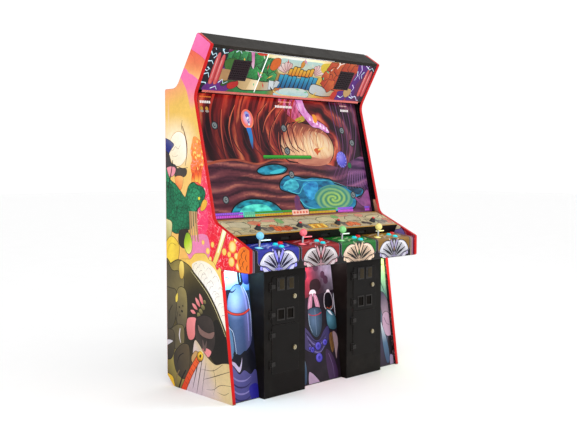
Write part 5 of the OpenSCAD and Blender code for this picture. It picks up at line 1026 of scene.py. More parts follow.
    # right board: dark low down and bright yellow-green towards the top, a painted glow of the light under the deck
    # over the printed art
    def rt(x, y):
        t = np.clip(y / 680, 0, 1)
        return stops(t, [(0, C(44, 34, 48)), (0.2, C(60, 52, 76)), (0.42, C(96, 110, 130)), (0.62, C(92, 136, 134)), (0.8, C(150, 190, 150)), (0.92, C(214, 240, 150)), (1, C(234, 250, 190))])
    A.add([(456, -10), (640, -10), (640, 690), (456, 690)], mottled(rt, 0.18, 40, 7))
    for p, w, c in ((((560, 680), (590, 650), (628, 640)), 9, C(30, 50, 24)), (((556, 640), (590, 610), (628, 606)), 6, C(40, 60, 30)), (((566, 560), (590, 480), (620, 420)), 10, C(44, 70, 76)), (((600, 600), (618, 520), (612, 430)), 6, C(170, 206, 190)), (((470, 620), (520, 560), (540, 470)), 12, C(60, 96, 90))):
        A.line(list(p), w, c, 2)
    A.add(smooth([(560, 420), (590, 440), (630, 380), (640, 300), (600, 250), (570, 300)]), mottled(grad((560, 420), (630, 280), (0, C(70, 64, 90)), (1, C(190, 160, 180))), 0.15, 20, 3), ink=3)
    A.add(smooth([(570, 300), (610, 320), (640, 280), (640, 190), (596, 176), (566, 220)]), mottled(C(196, 160, 186), 0.12, 18, 3), ink=3); A.line([(580, 290), (600, 250), (626, 240)], 4, C(60, 40, 60), 2)
    A.add(smooth([(548, 260), (566, 220), (590, 140), (600, 40), (570, 20), (550, 120)]), mottled(grad((550, 240), (590, 40), (0, C(206, 214, 226)), (0.5, C(80, 110, 140)), (1, C(60, 80, 110))), 0.1, 20, 3), ink=3)
    A.add(smooth([(600, 160), (640, 150), (640, 20), (604, 10)]), mottled(C(30, 24, 30), 0.3, 16)); A.add(smooth([(606, 60), (640, 40), (640, -10), (600, -10)]), C(160, 140, 170), ink=2)
    A.add(smooth([(470, 430), (520, 440), (540, 360), (520, 240), (480, 220), (466, 320)]), mottled(C(70, 84, 110), 0.15, 24, 4), ink=3)
    return A


# ------------------------------------------------------------------ build the printed pieces
XI, XB = 630.0, 629.8
panel_out = outline(2.5, 0)
side_L = slab("side_board_left", panel_out, side_outer(), lambda y, z: (-650, y, z), lambda y, z: (-XI, y, z), back=side_inner(), step=30, edge=C(150, 118, 84))
side_R = slab("side_board_right", panel_out, side_outer(), lambda y, z: (650, y, z), lambda y, z: (XI, y, z), back=side_inner(), step=30, edge=C(150, 118, 84))
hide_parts("side_panel_left"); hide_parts("side_panel_right")

header = slab("header_sheet", [(-XB, -258), (XB, -258), (XB, -20), (-XB, -20)], header_art(), lambda x, y: on_marquee(x, y, 0), lambda x, y: on_marquee(x, y, -5),
              holes=[[(x - 62, -190), (x + 62, -190), (x + 62, -71), (x - 62, -71)] for x in (-404, 404)], step=13, edge=C(200, 190, 180))
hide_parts("marquee_panel")
picture = slab("screen_picture", [(-618, -3), (618, -3), (618, 686.5), (-618, 686.5)], screen_art(), lambda x, y: on_bezel(x, y, -13.7), lambda x, y: on_bezel(x, y, -14.17), step=8.0)

sh = (-163 - shelf_lo[0]) / shelf_cos
shelf_skin = slab("shelf_skin", [(-629.5, 0.4), (629.5, 0.4), (629.5, shelf_len - 0.4), (-629.5, shelf_len - 0.4)], shelf_art(), lambda x, y: on_shelf(x, y, 0.32), lambda x, y: on_shelf(x, y, 0.03),
                  holes=[ell(s + 17, sh, 19.3, 19.3, 0, 36) for s in STN], step=14)

Y0 = -201.0; RN = 14.0
f0 = np.array([-347.0, deck_z(-347)]); du = np.array([math.cos(DA), math.sin(DA)]); dv = np.array([0.0, -1.0])
hh = math.acos(float(du @ dv)) / 2; tt = RN / math.tan(hh); oo = f0 + unit(du + dv) * (RN / math.sin(hh))
p_top = f0 + du * tt; q_fr = f0 + dv * tt
La = (Y0 - p_top[0]) / math.cos(DA); arc_len = RN * (math.pi - 2 * hh); Lf = La + arc_len; Lend = Lf + (q_fr[1] - 683.5)


def deck_path(x, a, off):
    if a <= La:
        y = Y0 - a * math.cos(DA); p = np.array([y, deck_z(y)]); n = np.array([-math.sin(DA), math.cos(DA)])
    elif a <= Lf:
        th = (a - La) / RN; v = p_top - oo; c, s = math.cos(th), math.sin(th); n = np.array([v[0] * c - v[1] * s, v[0] * s + v[1] * c]) / RN; p = oo + n * RN
    else:
        p = q_fr + dv * (a - Lf); n = np.array([-1.0, 0.0])
    return (x, p[0] + n[0] * off, p[1] + n[1] * off)


def da(y):
    return (Y0 - y) / math.cos(DA)


deck_holes = []
for s in STN:
    deck_holes.append(ell(s - 92, da(-300), 26.15, 26.15, 0, 40))
    for bx, by in ((47, -314), (52, -262), (108, -238)):
        deck_holes.append(ell(s + bx, da(by), 16.7, 16.7, 0, 32))
deck_skin = slab("deck_skin", [(-629.5, 0), (629.5, 0), (629.5, Lend), (-629.5, Lend)], deck_art(La, Lf, Lend), lambda x, a: deck_path(x, a, 0.32), lambda x, a: deck_path(x, a, 0.03),
                 holes=deck_holes, step=13, rows=[((-629.5, La + arc_len * k / 8), (629.5, La + arc_len * k / 8)) for k in range(9)])
kicks = []
for nm, x0, x1 in (("kick_skin_left", -629.5, -458.6), ("kick_skin_middle", -164.4, 164.4), ("kick_skin_right", 458.6, 629.5)):
    kicks.append(slab(nm, [(x0, 4), (x1, 4), (x1, 680), (x0, 680)], kick_art(), lambda x, z: (x, -200.8 + 0.13690 * z - 0.32, z), lambda x, z: (x, -200.8 + 0.13690 * z - 0.03, z), step=16))


def mesh_piece(name, V, F, smooth_faces=True):
    me = bpy.data.meshes.new(name); me.from_pydata([tuple(float(c) for c in v) for v in V], [], F); me.update()
    ob = bpy.data.objects.new(name, me); bpy.context.scene.collection.objects.link(ob)
    if smooth_faces:
        me.polygons.foreach_set("use_smooth", [True] * len(me.polygons))
    return ob


def moulding(name, x0, x1):
    """domed push-in moulding with small side lips, swept round the board's edge"""
    O = outline(0, -5); I = outline(2.5, -6)
    def cutoff(P):
        P = P.copy(); a, b = P[0], P[1]; P[0] = a + (b - a) * (4 - a[1]) / (b[1] - a[1]); a, b = P[-1], P[-2]; P[-1] = a + (b - a) * (4 - a[1]) / (b[1] - a[1]); return P
    O = cutoff(O); I = cutoff(I)
    # finer path
    def fine(P):
        out = []
        for i in range(len(P) - 1):
            L = np.hypot(*(P[i + 1] - P[i])); n = max(1, int(round(L / 60)))
            out += [P[i] + (P[i + 1] - P[i]) * k / n for k in range(n)]
        return np.array(out + [P[-1]])
    cnt = [max(1, int(round(np.hypot(*(O[i + 1] - O[i])) / 60))) for i in range(len(O) - 1)]
    def fine2(P):
        out = []
        for i in range(len(P) - 1):
            out += [P[i] + (P[i + 1] - P[i]) * k / cnt[i] for k in range(cnt[i])]
        return np.array(out + [P[-1]])
    O = fine2(O); I = fine2(I)
    tx = [0.0, 0.0, 0.03, 0.10, 0.24, 0.42, 0.5, 0.58, 0.76, 0.90, 0.97, 1.0, 1.0]
    hh_ = [0.0, 0.42, 0.62, 0.80, 0.93, 0.995, 1.0, 0.995, 0.93, 0.80, 0.62, 0.42, 0.0]
    V = []; F = []; m = len(tx)
    for o, i in zip(O, I):
        for t, h in zip(tx, hh_):
            p = i + (o - i) * h; V.append(((x0 + (x1 - x0) * t) / 1000, p[0] / 1000, p[1] / 1000))
    for a in range(len(O) - 1):
        for b in range(m):
            c = (b + 1) % m; F.append((a * m + b, a * m + c, (a + 1) * m + c, (a + 1) * m + b))
    F.append(tuple(range(m))[::-1]); F.append(tuple((len(O) - 1) * m + k for k in range(m)))
    ob = mesh_piece(name, V, F)
    import bmesh
    bm = bmesh.new(); bm.from_mesh(ob.data); bmesh.ops.recalc_face_normals(bm, faces=bm.faces); bm.to_mesh(ob.data); bm.free()
    return ob


trim_L = moulding("edge_moulding_left", -650, -XI); trim_R = moulding("edge_moulding_right", XI, 650)
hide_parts("edge_trims"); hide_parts("edge_trims")

for o in (side_L, side_R, header, picture, shelf_skin, deck_skin, trim_L, trim_R, *kicks):
    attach(o, "cabinet")


# ------------------------------------------------------------------ materials
def vinyl(name, rough=0.34, coat=0.12, spec=0.25, emit=0.0, grain=1.0, keep=1.0, k=1.0):
    """printed film: the artwork with its own drawn lines, ink mottling, fine film texture, scuffs and a thin clear layer"""
    M = Mat(name); art, alpha = M.attr("Art"); fx, _a = M.attr("Fx")
    sr, sg, sb = M.sep(fx)
    w = M.warp(0.03, 14.0)
    sq = M.noise(24.0, 2.0, 0.5, 1.4); l1 = M.math("ABSOLUTE", M.math("SUBTRACT", sq, 0.5)); m1 = M.remap(l1, 0.010, 0.022, 1.0, 0.0)
    gate = M.remap(M.noise(7.0, 1.0), 0.44, 0.56)
    m1 = M.math("MULTIPLY", M.math("MULTIPLY", m1, sr), M.fmix(gate, 0.25, 0.95))
    col = M.mix(m1, art, rgba(C(252, 196, 206)))
    cell = M.voro(46.0, "DISTANCE_TO_EDGE", w); m3 = M.math("MULTIPLY", M.remap(cell, 0.02, 0.09, 1.0, 0.0), sb)
    dk = M.mix(1.0, col, (0.16, 0.2, 0.18, 1), "MULTIPLY"); col = M.mix(M.math("MULTIPLY", m3, 0.8), col, dk)
    cr = M.voro(13.0, "DISTANCE_TO_EDGE", M.warp(0.05, 9.0)); m2 = M.math("MULTIPLY", M.remap(cr, 0.010, 0.030, 1.0, 0.0), sg)
    gate2 = M.remap(M.noise(5.0, 2.0), 0.42, 0.6); m2 = M.math("MULTIPLY", m2, gate2)
    col = M.mix(M.math("MULTIPLY", m2, 0.85), col, rgba(C(52, 36, 24)))
    big = M.noise(7.0, 4.0, 0.6); fine = M.noise(210.0, 2.0, 0.6); mid = M.noise(46.0, 3.0, 0.6)
    v = M.math("ADD", M.math("MULTIPLY", M.math("SUBTRACT", big, 0.5), 0.22), M.math("MULTIPLY", M.math("SUBTRACT", mid, 0.5), 0.26 * grain))
    v = M.math("ADD", v, M.math("MULTIPLY", M.math("SUBTRACT", fine, 0.5), 0.16 * grain)); v = M.math("ADD", v, k)
    sc = M.t.nodes.new("ShaderNodeVectorMath"); sc.operation = "SCALE"; M.put(sc.inputs[0], col); M.put(sc.inputs["Scale"], v); col = sc.outputs[0]
    dust = M.remap(M.noise(3.0, 5.0, 0.7), 0.52, 0.8, 0.0, 0.022); base = M.mix(dust, col, rgba(C(150, 146, 140)))
    scr = M.noise(160.0, 2.0, 0.5, 0.0, M.vmath("MULTIPLY", M.obj, (1.0, 1.0, 0.06))); sm = M.remap(scr, 0.66, 0.74)
    ro = M.math("ADD", M.math("ADD", rough, M.math("MULTIPLY", M.math("SUBTRACT", M.noise(12.0, 4.0), 0.5), 0.22)), M.math("MULTIPLY", sm, 0.14))
    h = M.math("ADD", M.math("MULTIPLY", M.noise(900.0, 2.0), 0.5), M.math("MULTIPLY", M.noise(60.0, 2.0), 0.6))
    nb = M.bump(h, 0.10, 0.0006)
    if emit:
        es = M.math("MULTIPLY", alpha, emit)
        sk = M.t.nodes.new("ShaderNodeVectorMath"); sk.operation = "SCALE"; M.put(sk.inputs[0], base); sk.inputs["Scale"].default_value = keep
        M.set(color=sk.outputs[0], rough=ro, spec=spec, coat=coat, coat_rough=0.12, normal=nb, emit=col, estr=es)
    else:
        M.set(color=base, rough=ro, spec=spec, coat=coat, coat_rough=0.12, normal=nb)
    return M.m


m_side = vinyl("side_vinyl", 0.40, 0.04, 0.11)
m_kick = vinyl("kick_vinyl", 0.36, 0.06, 0.14, emit=0.25, keep=0.9)
m_deck = vinyl("deck_film", 0.32, 0.10, 0.18, grain=0.7)
m_shelf = vinyl("shelf_film", 0.42, 0.08, 0.2, grain=1.3)
m_head = vinyl("header_film", 0.30, 0.1, 0.2, emit=0.62, keep=0.40, grain=0.6)
m_screen = vinyl("lit_picture", 0.30, 0.0, 0.10, emit=0.86, keep=0.03, grain=0.35)


def plastic(name, c, rough=0.35, spec=0.4, coat=0.0, var=0.10, bump=0.10, scale=1.0, emit=0.0, sss=0.0, dustc=(140, 136, 130), dust=0.06, edges=True):
    M = Mat(name)
    big = M.noise(6.0 * scale, 4.0, 0.6); mid = M.noise(55.0 * scale, 3.0, 0.6); fine = M.noise(420.0 * scale, 2.0)
    v = M.math("ADD", 1.0, M.math("ADD", M.math("MULTIPLY", M.math("SUBTRACT", big, 0.5), var * 2), M.math("MULTIPLY", M.math("SUBTRACT", mid, 0.5), var * 1.6)))
    sc = M.t.nodes.new("ShaderNodeVectorMath"); sc.operation = "SCALE"; sc.inputs[0].default_value = tuple(float(x) for x in c); M.put(sc.inputs["Scale"], v)
    col = M.mix(M.remap(M.noise(9.0 * scale, 5.0, 0.7), 0.5, 0.8, 0.0, dust), sc.outputs[0], rgba(C(*dustc)))
    nb = M.bump(M.math("ADD", M.math("MULTIPLY", fine, 0.6), M.math("MULTIPLY", mid, 0.4)), bump, 0.0006)
    ro = M.math("ADD", rough, M.math("MULTIPLY", M.math("SUBTRACT", M.noise(18.0 * scale, 4.0), 0.5), 0.25))
    if edges:
        e, _b = M.edge(0.0012); col = M.mix(M.math("MULTIPLY", e, 0.35), col, rgba(np.clip(np.array(c) * 2.2 + 0.02, 0, 1))); ro = M.math("SUBTRACT", ro, M.math("MULTIPLY", e, 0.08))
    M.set(color=col, rough=ro, spec=spec, coat=coat, coat_rough=0.15, normal=nb)
    if emit:
        M.set(emit=col, estr=emit)
    if sss:
        M.set(sss=sss, sssr=0.01)
    return M.m


def powder(name, c, rough=0.55, spec=0.22, chips=True):
    """textured powder coat on sheet steel, with worn edges and a few chips"""
    M = Mat(name)
    peel = M.voro(520.0, "SMOOTH_F1"); fine = M.noise(900.0, 2.0); big = M.noise(4.0, 5.0, 0.65); streak = M.noise(7.0, 3.0, 0.5, 0.0, M.vmath("MULTIPLY", M.obj, (5.0, 5.0, 0.35)))
    v = M.math("ADD", 1.0, M.math("ADD", M.math("MULTIPLY", M.math("SUBTRACT", big, 0.5), 0.6), M.math("MULTIPLY", M.math("SUBTRACT", streak, 0.5), 0.4)))
    sc = M.t.nodes.new("ShaderNodeVectorMath"); sc.operation = "SCALE"; sc.inputs[0].default_value = tuple(float(x) for x in c); M.put(sc.inputs["Scale"], v)
    e, _b = M.edge(0.0016)
    worn = M.math("MULTIPLY", e, M.remap(M.noise(38.0, 4.0, 0.7), 0.42, 0.62, 0.15, 1.0))
    col = M.mix(M.math("MULTIPLY", worn, 0.55), sc.outputs[0], rgba(C(92, 84, 76)))
    chip = M.math("MULTIPLY", M.remap(M.noise(26.0, 5.0, 0.75), 0.735, 0.75), 0.8 if chips else 0.0)
    col = M.mix(chip, col, rgba(C(120, 116, 110)))
    dust = M.remap(M.noise(5.0, 6.0, 0.7), 0.5, 0.85, 0.0, 0.05); col = M.mix(dust, col, rgba(C(140, 132, 120)))
    ro = M.math("ADD", rough, M.math("MULTIPLY", M.math("SUBTRACT", M.noise(14.0, 4.0), 0.5), 0.22)); ro = M.math("SUBTRACT", ro, M.math("MULTIPLY", worn, 0.15))
    nb = M.bump(M.math("ADD", M.math("MULTIPLY", peel, 0.8), M.math("MULTIPLY", fine, 0.3)), 0.16, 0.0005)
    M.set(color=col, rough=ro, spec=spec, normal=nb, metal=M.math("MULTIPLY", M.math("ADD", chip, M.math("MULTIPLY", worn, 0.25)), 0.5))
    return M.m


def metal(name, c, rough=0.25, brush=(60.0, 60.0, 2.0), stain=0.15):
    M = Mat(name)
    br = M.noise(14.0, 4.0, 0.6, 0.0, M.vmath("MULTIPLY", M.obj, brush)); big = M.noise(24.0, 4.0, 0.6)
    sc = M.t.nodes.new("ShaderNodeVectorMath"); sc.operation = "SCALE"; sc.inputs[0].default_value = tuple(float(x) for x in c); M.put(sc.inputs["Scale"], M.math("ADD", 0.86, M.math("MULTIPLY", br, 0.28)))
    col = M.mix(M.remap(big, 0.5, 0.8, 0.0, stain * 2), sc.outputs[0], rgba(np.array(c) * 0.35))
    e, _b = M.edge(0.0008); col = M.mix(M.math("MULTIPLY", e, 0.4), col, rgba(np.clip(np.array(c) * 1.4, 0, 1)))
    ro = M.math("ADD", rough, M.math("ADD", M.math("MULTIPLY", M.math("SUBTRACT", br, 0.5), 0.25), M.math("MULTIPLY", M.remap(big, 0.5, 0.8), 0.15)))
    M.set(color=col, rough=ro, metal=1.0, normal=M.bump(br, 0.06, 0.0004))
    return M.m


def board(name, c, fibre=1.0, rough=0.6):
    """painted or raw wood-fibre board: soft fibre flecks, roller texture, rubbed edges"""
    M = Mat(name)
    fl = M.noise(120.0, 4.0, 0.7, 0.6); big = M.noise(3.5, 5.0, 0.6); rol = M.noise(500.0, 2.0); grain = M.noise(30.0, 3.0, 0.6, 0.0, M.vmath("MULTIPLY", M.obj, (0.3, 4.0, 4.0)))
    v = M.math("ADD", 1.0, M.math("ADD", M.math("MULTIPLY", M.math("SUBTRACT", big, 0.5), 0.35), M.math("MULTIPLY", M.math("SUBTRACT", M.math("ADD", M.math("MULTIPLY", fl, 0.6), M.math("MULTIPLY", grain, 0.4)), 0.5), 0.5 * fibre)))
    sc = M.t.nodes.new("ShaderNodeVectorMath"); sc.operation = "SCALE"; sc.inputs[0].default_value = tuple(float(x) for x in c); M.put(sc.inputs["Scale"], v)
    e, _b = M.edge(0.0018); col = M.mix(M.math("MULTIPLY", M.math("MULTIPLY", e, M.remap(fl, 0.4, 0.6)), 0.5), sc.outputs[0], rgba(C(120, 96, 70)))
    dust = M.remap(M.noise(6.0, 6.0, 0.7), 0.5, 0.85, 0.0, 0.10); col = M.mix(dust, col, rgba(C(140, 132, 122)))
    ro = M.math("ADD", rough, M.math("MULTIPLY", M.math("SUBTRACT", M.noise(16.0, 4.0), 0.5), 0.25))
    M.set(color=col, rough=ro, spec=0.25, normal=M.bump(M.math("ADD", M.math("MULTIPLY", rol, 0.5), M.math("MULTIPLY", fl, 0.5)), 0.14, 0.0006))
    return M.m


m_trim = plastic("red_moulding", C(196, 14, 14), 0.36, 0.16, 0.05, 0.08, 0.05, dust=0.0, edges=False)
m_roof = board("dark_paint", C(25, 20, 13), 0.7, 0.62)
m_dark = board("rear_board", C(52, 46, 41), 1.0, 0.6)
m_raw = board("raw_board", C(134, 104, 74), 1.4, 0.75)
m_tower = powder("tower_powder", C(17, 14, 12), 0.5, 0.10)
m_black = plastic("black_plastic", C(16, 15, 16), 0.42, 0.2, 0.0, 0.3, 0.16, dust=0.03)
m_bezel = plastic("bezel_plastic", C(12, 12, 13), 0.40, 0.16, 0.0, 0.3, 0.12, dust=0.02, edges=False)
m_steel = metal("zinc_steel", C(158, 160, 164), 0.34)
m_grey = plastic("grey_case", C(112, 115, 120), 0.5, 0.4, 0.0, 0.15, 0.2)
m_rubber = plastic("rubber", C(26, 26, 27), 0.7, 0.25, 0.0, 0.3, 0.4)
m_lock = metal("worn_chrome", C(168, 158, 132), 0.24, (50.0, 2.0, 50.0), 0.2)
m_ret = metal("rosy_channel", C(222, 120, 112), 0.22, (0.6, 60.0, 60.0), 0.10)


def station_ramp(M, cols):
    x, y, z = M.sep(); f = M.remap(x, -0.6, 0.6)
    return M.ramp(f, [(0.0, cols[0]), (0.25, cols[1]), (0.5, cols[2]), (0.75, cols[3])], "CONSTANT")


def local_x(M):
    x, y, z = M.sep()
    m = M.math("MODULO", M.math("ADD", x, 0.6), 0.3)
    return M.math("SUBTRACT", m, 0.15), x, y, z


BALL = (C(112, 196, 228), C(238, 104, 116), C(124, 200, 122), C(232, 214, 124))
LAMP = (C(206, 244, 250), C(250, 90, 104), C(206, 244, 206), C(248, 238, 150))

# buttons: clear coloured caps lit from below
def cap(name, c, glow):
    M = Mat(name); n = M.noise(90.0, 3.0); f = M.noise(700.0, 2.0); big = M.noise(30.0, 4.0, 0.6)
    sc = M.t.nodes.new("ShaderNodeVectorMath"); sc.operation = "SCALE"; sc.inputs[0].default_value = tuple(float(x) for x in c); M.put(sc.inputs["Scale"], M.math("ADD", 0.85, M.math("MULTIPLY", big, 0.3)))
    e, _b = M.edge(0.0012); col = M.mix(M.math("MULTIPLY", e, 0.35), sc.outputs[0], rgba(np.clip(np.array(c) * 1.5 + 0.08, 0, 1)))
    ro = M.math("ADD", 0.18, M.math("MULTIPLY", n, 0.16))
    es = M.math("MULTIPLY", M.math("ADD", 0.8, M.math("MULTIPLY", big, 0.4)), glow)
    M.set(color=col, rough=ro, spec=0.5, coat=0.3, coat_rough=0.08, normal=M.bump(f, 0.05, 0.0004), emit=col, estr=es, sss=0.1, sssr=0.004)
    return M.m


m_cyan = cap("cyan_cap", C(10, 206, 214), 0.46); m_red = cap("red_cap", C(206, 14, 18), 0.30); m_start = cap("start_cap", C(206, 30, 28), 0.22)


def housings():
    M = Mat("button_bezels"); lx, x, y, z = local_x(M)
    isred = M.math("GREATER_THAN", lx, 0.082); isstart = M.math("GREATER_THAN", y, -0.205)
    col = M.mix(isred, rgba(C(26, 186, 200)), rgba(C(196, 16, 18)))
    big = M.noise(40.0, 4.0, 0.6); col = M.mix(M.remap(big, 0.35, 0.75, 0.0, 0.35), col, M.mix(1.0, col, (0.5, 0.5, 0.5, 1), "MULTIPLY"))
    col = M.mix(isstart, col, M.mix(M.remap(big, 0.4, 0.7), rgba(C(30, 28, 30)), rgba(C(46, 43, 44))))
    e, _b = M.edge(0.001); col = M.mix(M.math("MULTIPLY", e, 0.25), col, (0.75, 0.8, 0.82, 1))
    es = M.math("MULTIPLY", M.math("SUBTRACT", 1.0, isstart), 0.30)
    M.set(color=col, rough=M.math("ADD", 0.28, M.math("MULTIPLY", big, 0.2)), spec=0.35, coat=0.1, coat_rough=0.2, normal=M.bump(M.noise(600.0, 2.0), 0.08, 0.0004), emit=col, estr=es)
    return M.m


def stick(i):
    s = STN[i] - 92; yd = -300.0; zd = deck_z(yd); n = np.array([0, -math.sin(DA), math.cos(DA)])
    pd = np.array([s, yd, zd]); ball = (pd + 64 * n) / 1000; piv = (pd - 14 * n) / 1000
    M = Mat("stick_%d" % (i + 1)); c = BALL[i]
    db = M.vmath("DISTANCE", M.obj, tuple(ball)); isball = M.math("LESS_THAN", db, 0.0206)
    dp = M.vmath("DISTANCE", M.obj, tuple(piv)); isdome = M.math("LESS_THAN", dp, 0.0226)
    big = M.noise(38.0, 4.0, 0.6)
    bc = M.mix(M.remap(big, 0.3, 0.75, 0.0, 0.35), rgba(c), rgba(c * 0.72)); dome = M.mix(M.remap(big, 0.3, 0.7), rgba(np.clip(c * 1.1, 0, 1)), rgba(np.clip(c * 0.8 + 0.03, 0, 1)))
    br = M.noise(30.0, 4.0, 0.6, 0.0, M.vmath("MULTIPLY", M.obj, (30.0, 30.0, 1.0))); shc = M.mix(br, rgba(C(150, 150, 156)), rgba(C(214, 214, 218)))
    col = M.mix(isdome, shc, dome); col = M.mix(isball, col, bc)
    notmet = M.math("MAXIMUM", isball, isdome); ro = M.math("ADD", 0.17, M.math("MULTIPLY", M.noise(50.0, 4.0), 0.18))
    es = M.math("ADD", M.math("MULTIPLY", isdome, 0.55), M.math("MULTIPLY", isball, 0.22))
    M.set(color=col, rough=ro, metal=M.math("MULTIPLY", M.math("SUBTRACT", 1.0, notmet), 0.8), spec=0.5, coat=0.35, coat_rough=0.06, normal=M.bump(M.noise(240.0, 3.0), 0.04, 0.0004), emit=col, estr=es)
    return M.m


def bases():
    M = Mat("stick_rings"); x, y, z = M.sep()
    zd = M.math("ADD", 0.810, M.math("MULTIPLY", M.math("ADD", y, 0.199), math.tan(DA)))
    up = M.math("GREATER_THAN", z, M.math("SUBTRACT", zd, 0.0005))
    c = station_ramp(M, [np.clip(b * 1.05, 0, 1) for b in BALL]); big = M.noise(40.0, 4.0, 0.6)
    ring = M.mix(M.remap(big, 0.3, 0.7, 0.0, 0.3), c, M.mix(1.0, c, (0.6, 0.6, 0.62, 1), "MULTIPLY"))
    cx_ = M.math("SUBTRACT", M.math("MODULO", M.math("ADD", x, 0.6), 0.3), 0.058); cyy = M.math("ADD", y, 0.300)
    rad = M.math("SQRT", M.math("ADD", M.math("MULTIPLY", cx_, cx_), M.math("MULTIPLY", cyy, cyy))); fall = M.remap(rad, 0.0175, 0.0245, 1.0, 0.0)
    rim = M.mix(1.0, ring, (0.16, 0.16, 0.22, 1), "MULTIPLY"); ring = M.mix(fall, rim, ring)
    col = M.mix(up, M.mix(big, rgba(C(24, 24, 26)), rgba(C(60, 60, 64))), ring)
    M.set(color=col, rough=M.math("ADD", 0.25, M.math("MULTIPLY", big, 0.2)), spec=0.4, normal=M.bump(M.noise(500.0, 2.0), 0.08, 0.0004), emit=col, estr=M.math("MULTIPLY", M.math("MULTIPLY", up, fall), 0.5))
    return M.m


def lamps():
    M = Mat("lamp_tubes"); x, y, z = M.sep(); lx, _x, _y, _z = local_x(M)
    top = M.math("GREATER_THAN", z, 1.2)
    c = station_ramp(M, LAMP); big = M.noise(60.0, 3.0)
    endcap = M.math("MAXIMUM", M.math("LESS_THAN", lx, -0.0001), M.math("GREATER_THAN", lx, 0.0640))
    endcap = M.math("MULTIPLY", endcap, M.math("SUBTRACT", 1.0, top))
    col = M.mix(top, c, rgba(C(244, 246, 250))); col = M.mix(M.remap(big, 0.3, 0.7, 0.0, 0.15), col, rgba(C(250, 250, 250)))
    col = M.mix(endcap, col, rgba(C(170, 170, 176)))
    es = M.fmix(endcap, 1.15, 0.15)
    M.set(color=col, rough=M.math("ADD", 0.3, M.math("MULTIPLY", big, 0.2)), spec=0.4, normal=M.bump(big, 0.05, 0.0004), emit=col, estr=es)
    return M.m


def door(name):
    """steel door: powder-coated slab with lighter moulded bezels standing proud of it; the insides of the cups carry
    painted bounce light
    """
    M = Mat(name); x, y, z = M.sep()
    # inner marks the cup insides: their lighter colour and faint warm emission are painted bounce light in the shaded
    # recess
    proud = M.math("LESS_THAN", y, -0.2466); inner = M.math("GREATER_THAN", y, -0.2385)
    peel = M.voro(520.0, "SMOOTH_F1"); big = M.noise(5.0, 5.0, 0.65); mid = M.noise(60.0, 3.0)
    slabc = M.mix(big, rgba(C(12, 10, 9)), rgba(C(22, 19, 17))); frame_c = M.mix(mid, rgba(C(38, 36, 35)), rgba(C(54, 52, 51)))
    col = M.mix(proud, slabc, frame_c); col = M.mix(inner, col, M.mix(mid, rgba(C(20, 18, 17)), rgba(C(34, 31, 29))))
    e, _b = M.edge(0.0014); worn = M.math("MULTIPLY", e, M.remap(M.noise(40.0, 4.0, 0.7), 0.4, 0.6, 0.3, 1.0)); col = M.mix(M.math("MULTIPLY", worn, 0.5), col, rgba(C(104, 98, 94)))
    ro = M.math("ADD", 0.48, M.math("MULTIPLY", M.math("SUBTRACT", M.noise(16.0, 4.0), 0.5), 0.25)); ro = M.math("SUBTRACT", ro, M.math("MULTIPLY", proud, 0.12))
    M.set(color=col, rough=ro, spec=0.11, emit=(1.0, 0.88, 0.76, 1), estr=M.math("MULTIPLY", inner, 0.009), normal=M.bump(M.math("ADD", peel, M.math("MULTIPLY", M.noise(900.0, 2.0), 0.3)), 0.15, 0.0005))
    return M.m


def amber():
    M = Mat("amber_plate"); big = M.noise(30.0, 4.0, 0.6); f = M.noise(420.0, 2.0); x, y, z = M.sep()
    rib = M.math("PINGPONG", M.math("MULTIPLY", z, 1.0), 0.0018)
    col = M.mix(big, rgba(C(26, 20, 8)), rgba(C(58, 46, 18))); e, _b = M.edge(0.001); col = M.mix(M.math("MULTIPLY", e, 0.4), col, rgba(C(150, 130, 80)))
    M.set(color=col, rough=M.math("ADD", 0.3, M.math("MULTIPLY", big, 0.2)), spec=0.16, coat=0.0, coat_rough=0.2, normal=M.bump(M.math("ADD", f, M.math("MULTIPLY", rib, 300.0)), 0.15, 0.0005), emit=col, estr=0.05)
    return M.m


def speaker():
    M = Mat("speaker_parts"); x, y, z = M.sep(); f = M.noise(600.0, 2.0); big = M.noise(16.0, 4.0, 0.6)
    hue = M.mix(big, rgba(C(20, 14, 20)), rgba(C(46, 26, 34)))
    e, _b = M.edge(0.0008); col = M.mix(M.math("MULTIPLY", e, 0.4), hue, rgba(C(90, 70, 70)))
    M.set(color=col, rough=M.math("ADD", 0.4, M.math("MULTIPLY", big, 0.25)), spec=0.2, normal=M.bump(f, 0.1, 0.0004))
    return M.m


def brackets():
    """zinc brackets; the door hinges at the front are finished black like the doors"""
    M = Mat("brackets"); x, y, z = M.sep(); front = M.math("LESS_THAN", y, -0.2)
    br = M.noise(14.0, 4.0, 0.6, 0.0, M.vmath("MULTIPLY", M.obj, (60.0, 60.0, 2.0))); big = M.noise(24.0, 4.0, 0.6)
    zinc = M.mix(br, rgba(C(120, 122, 128)), rgba(C(178, 180, 184))); blk = M.mix(big, rgba(C(14, 12, 11)), rgba(C(26, 23, 21)))
    e, _b = M.edge(0.001); col = M.mix(front, zinc, blk); col = M.mix(M.math("MULTIPLY", e, 0.3), col, rgba(C(110, 106, 102)))
    ro = M.math("ADD", M.fmix(front, 0.3, 0.46), M.math("MULTIPLY", M.math("SUBTRACT", br, 0.5), 0.2))
    M.set(color=col, rough=ro, spec=0.15, metal=M.fmix(front, 1.0, 0.0), normal=M.bump(br, 0.08, 0.0004))
    return M.m


def shelf_body():
    M = Mat("riser_board"); big = M.noise(8.0, 5.0, 0.6); f = M.noise(700.0, 2.0)
    col = M.mix(big, rgba(C(11, 10, 10)), rgba(C(24, 22, 22))); e, _b = M.edge(0.0012); col = M.mix(M.math("MULTIPLY", e, 0.4), col, rgba(C(60, 54, 50)))
    M.set(color=col, rough=M.math("ADD", 0.42, M.math("MULTIPLY", big, 0.2)), spec=0.2, normal=M.bump(f, 0.12, 0.0005))
    return M.m


for o, m in ((side_L, m_side), (side_R, m_side), (header, m_head), (picture, m_screen), (shelf_skin, m_shelf), (deck_skin, m_deck), (trim_L, m_trim), (trim_R, m_trim), *((k, m_kick) for k in kicks)):
    o.data.materials.clear(); o.data.materials.append(m)

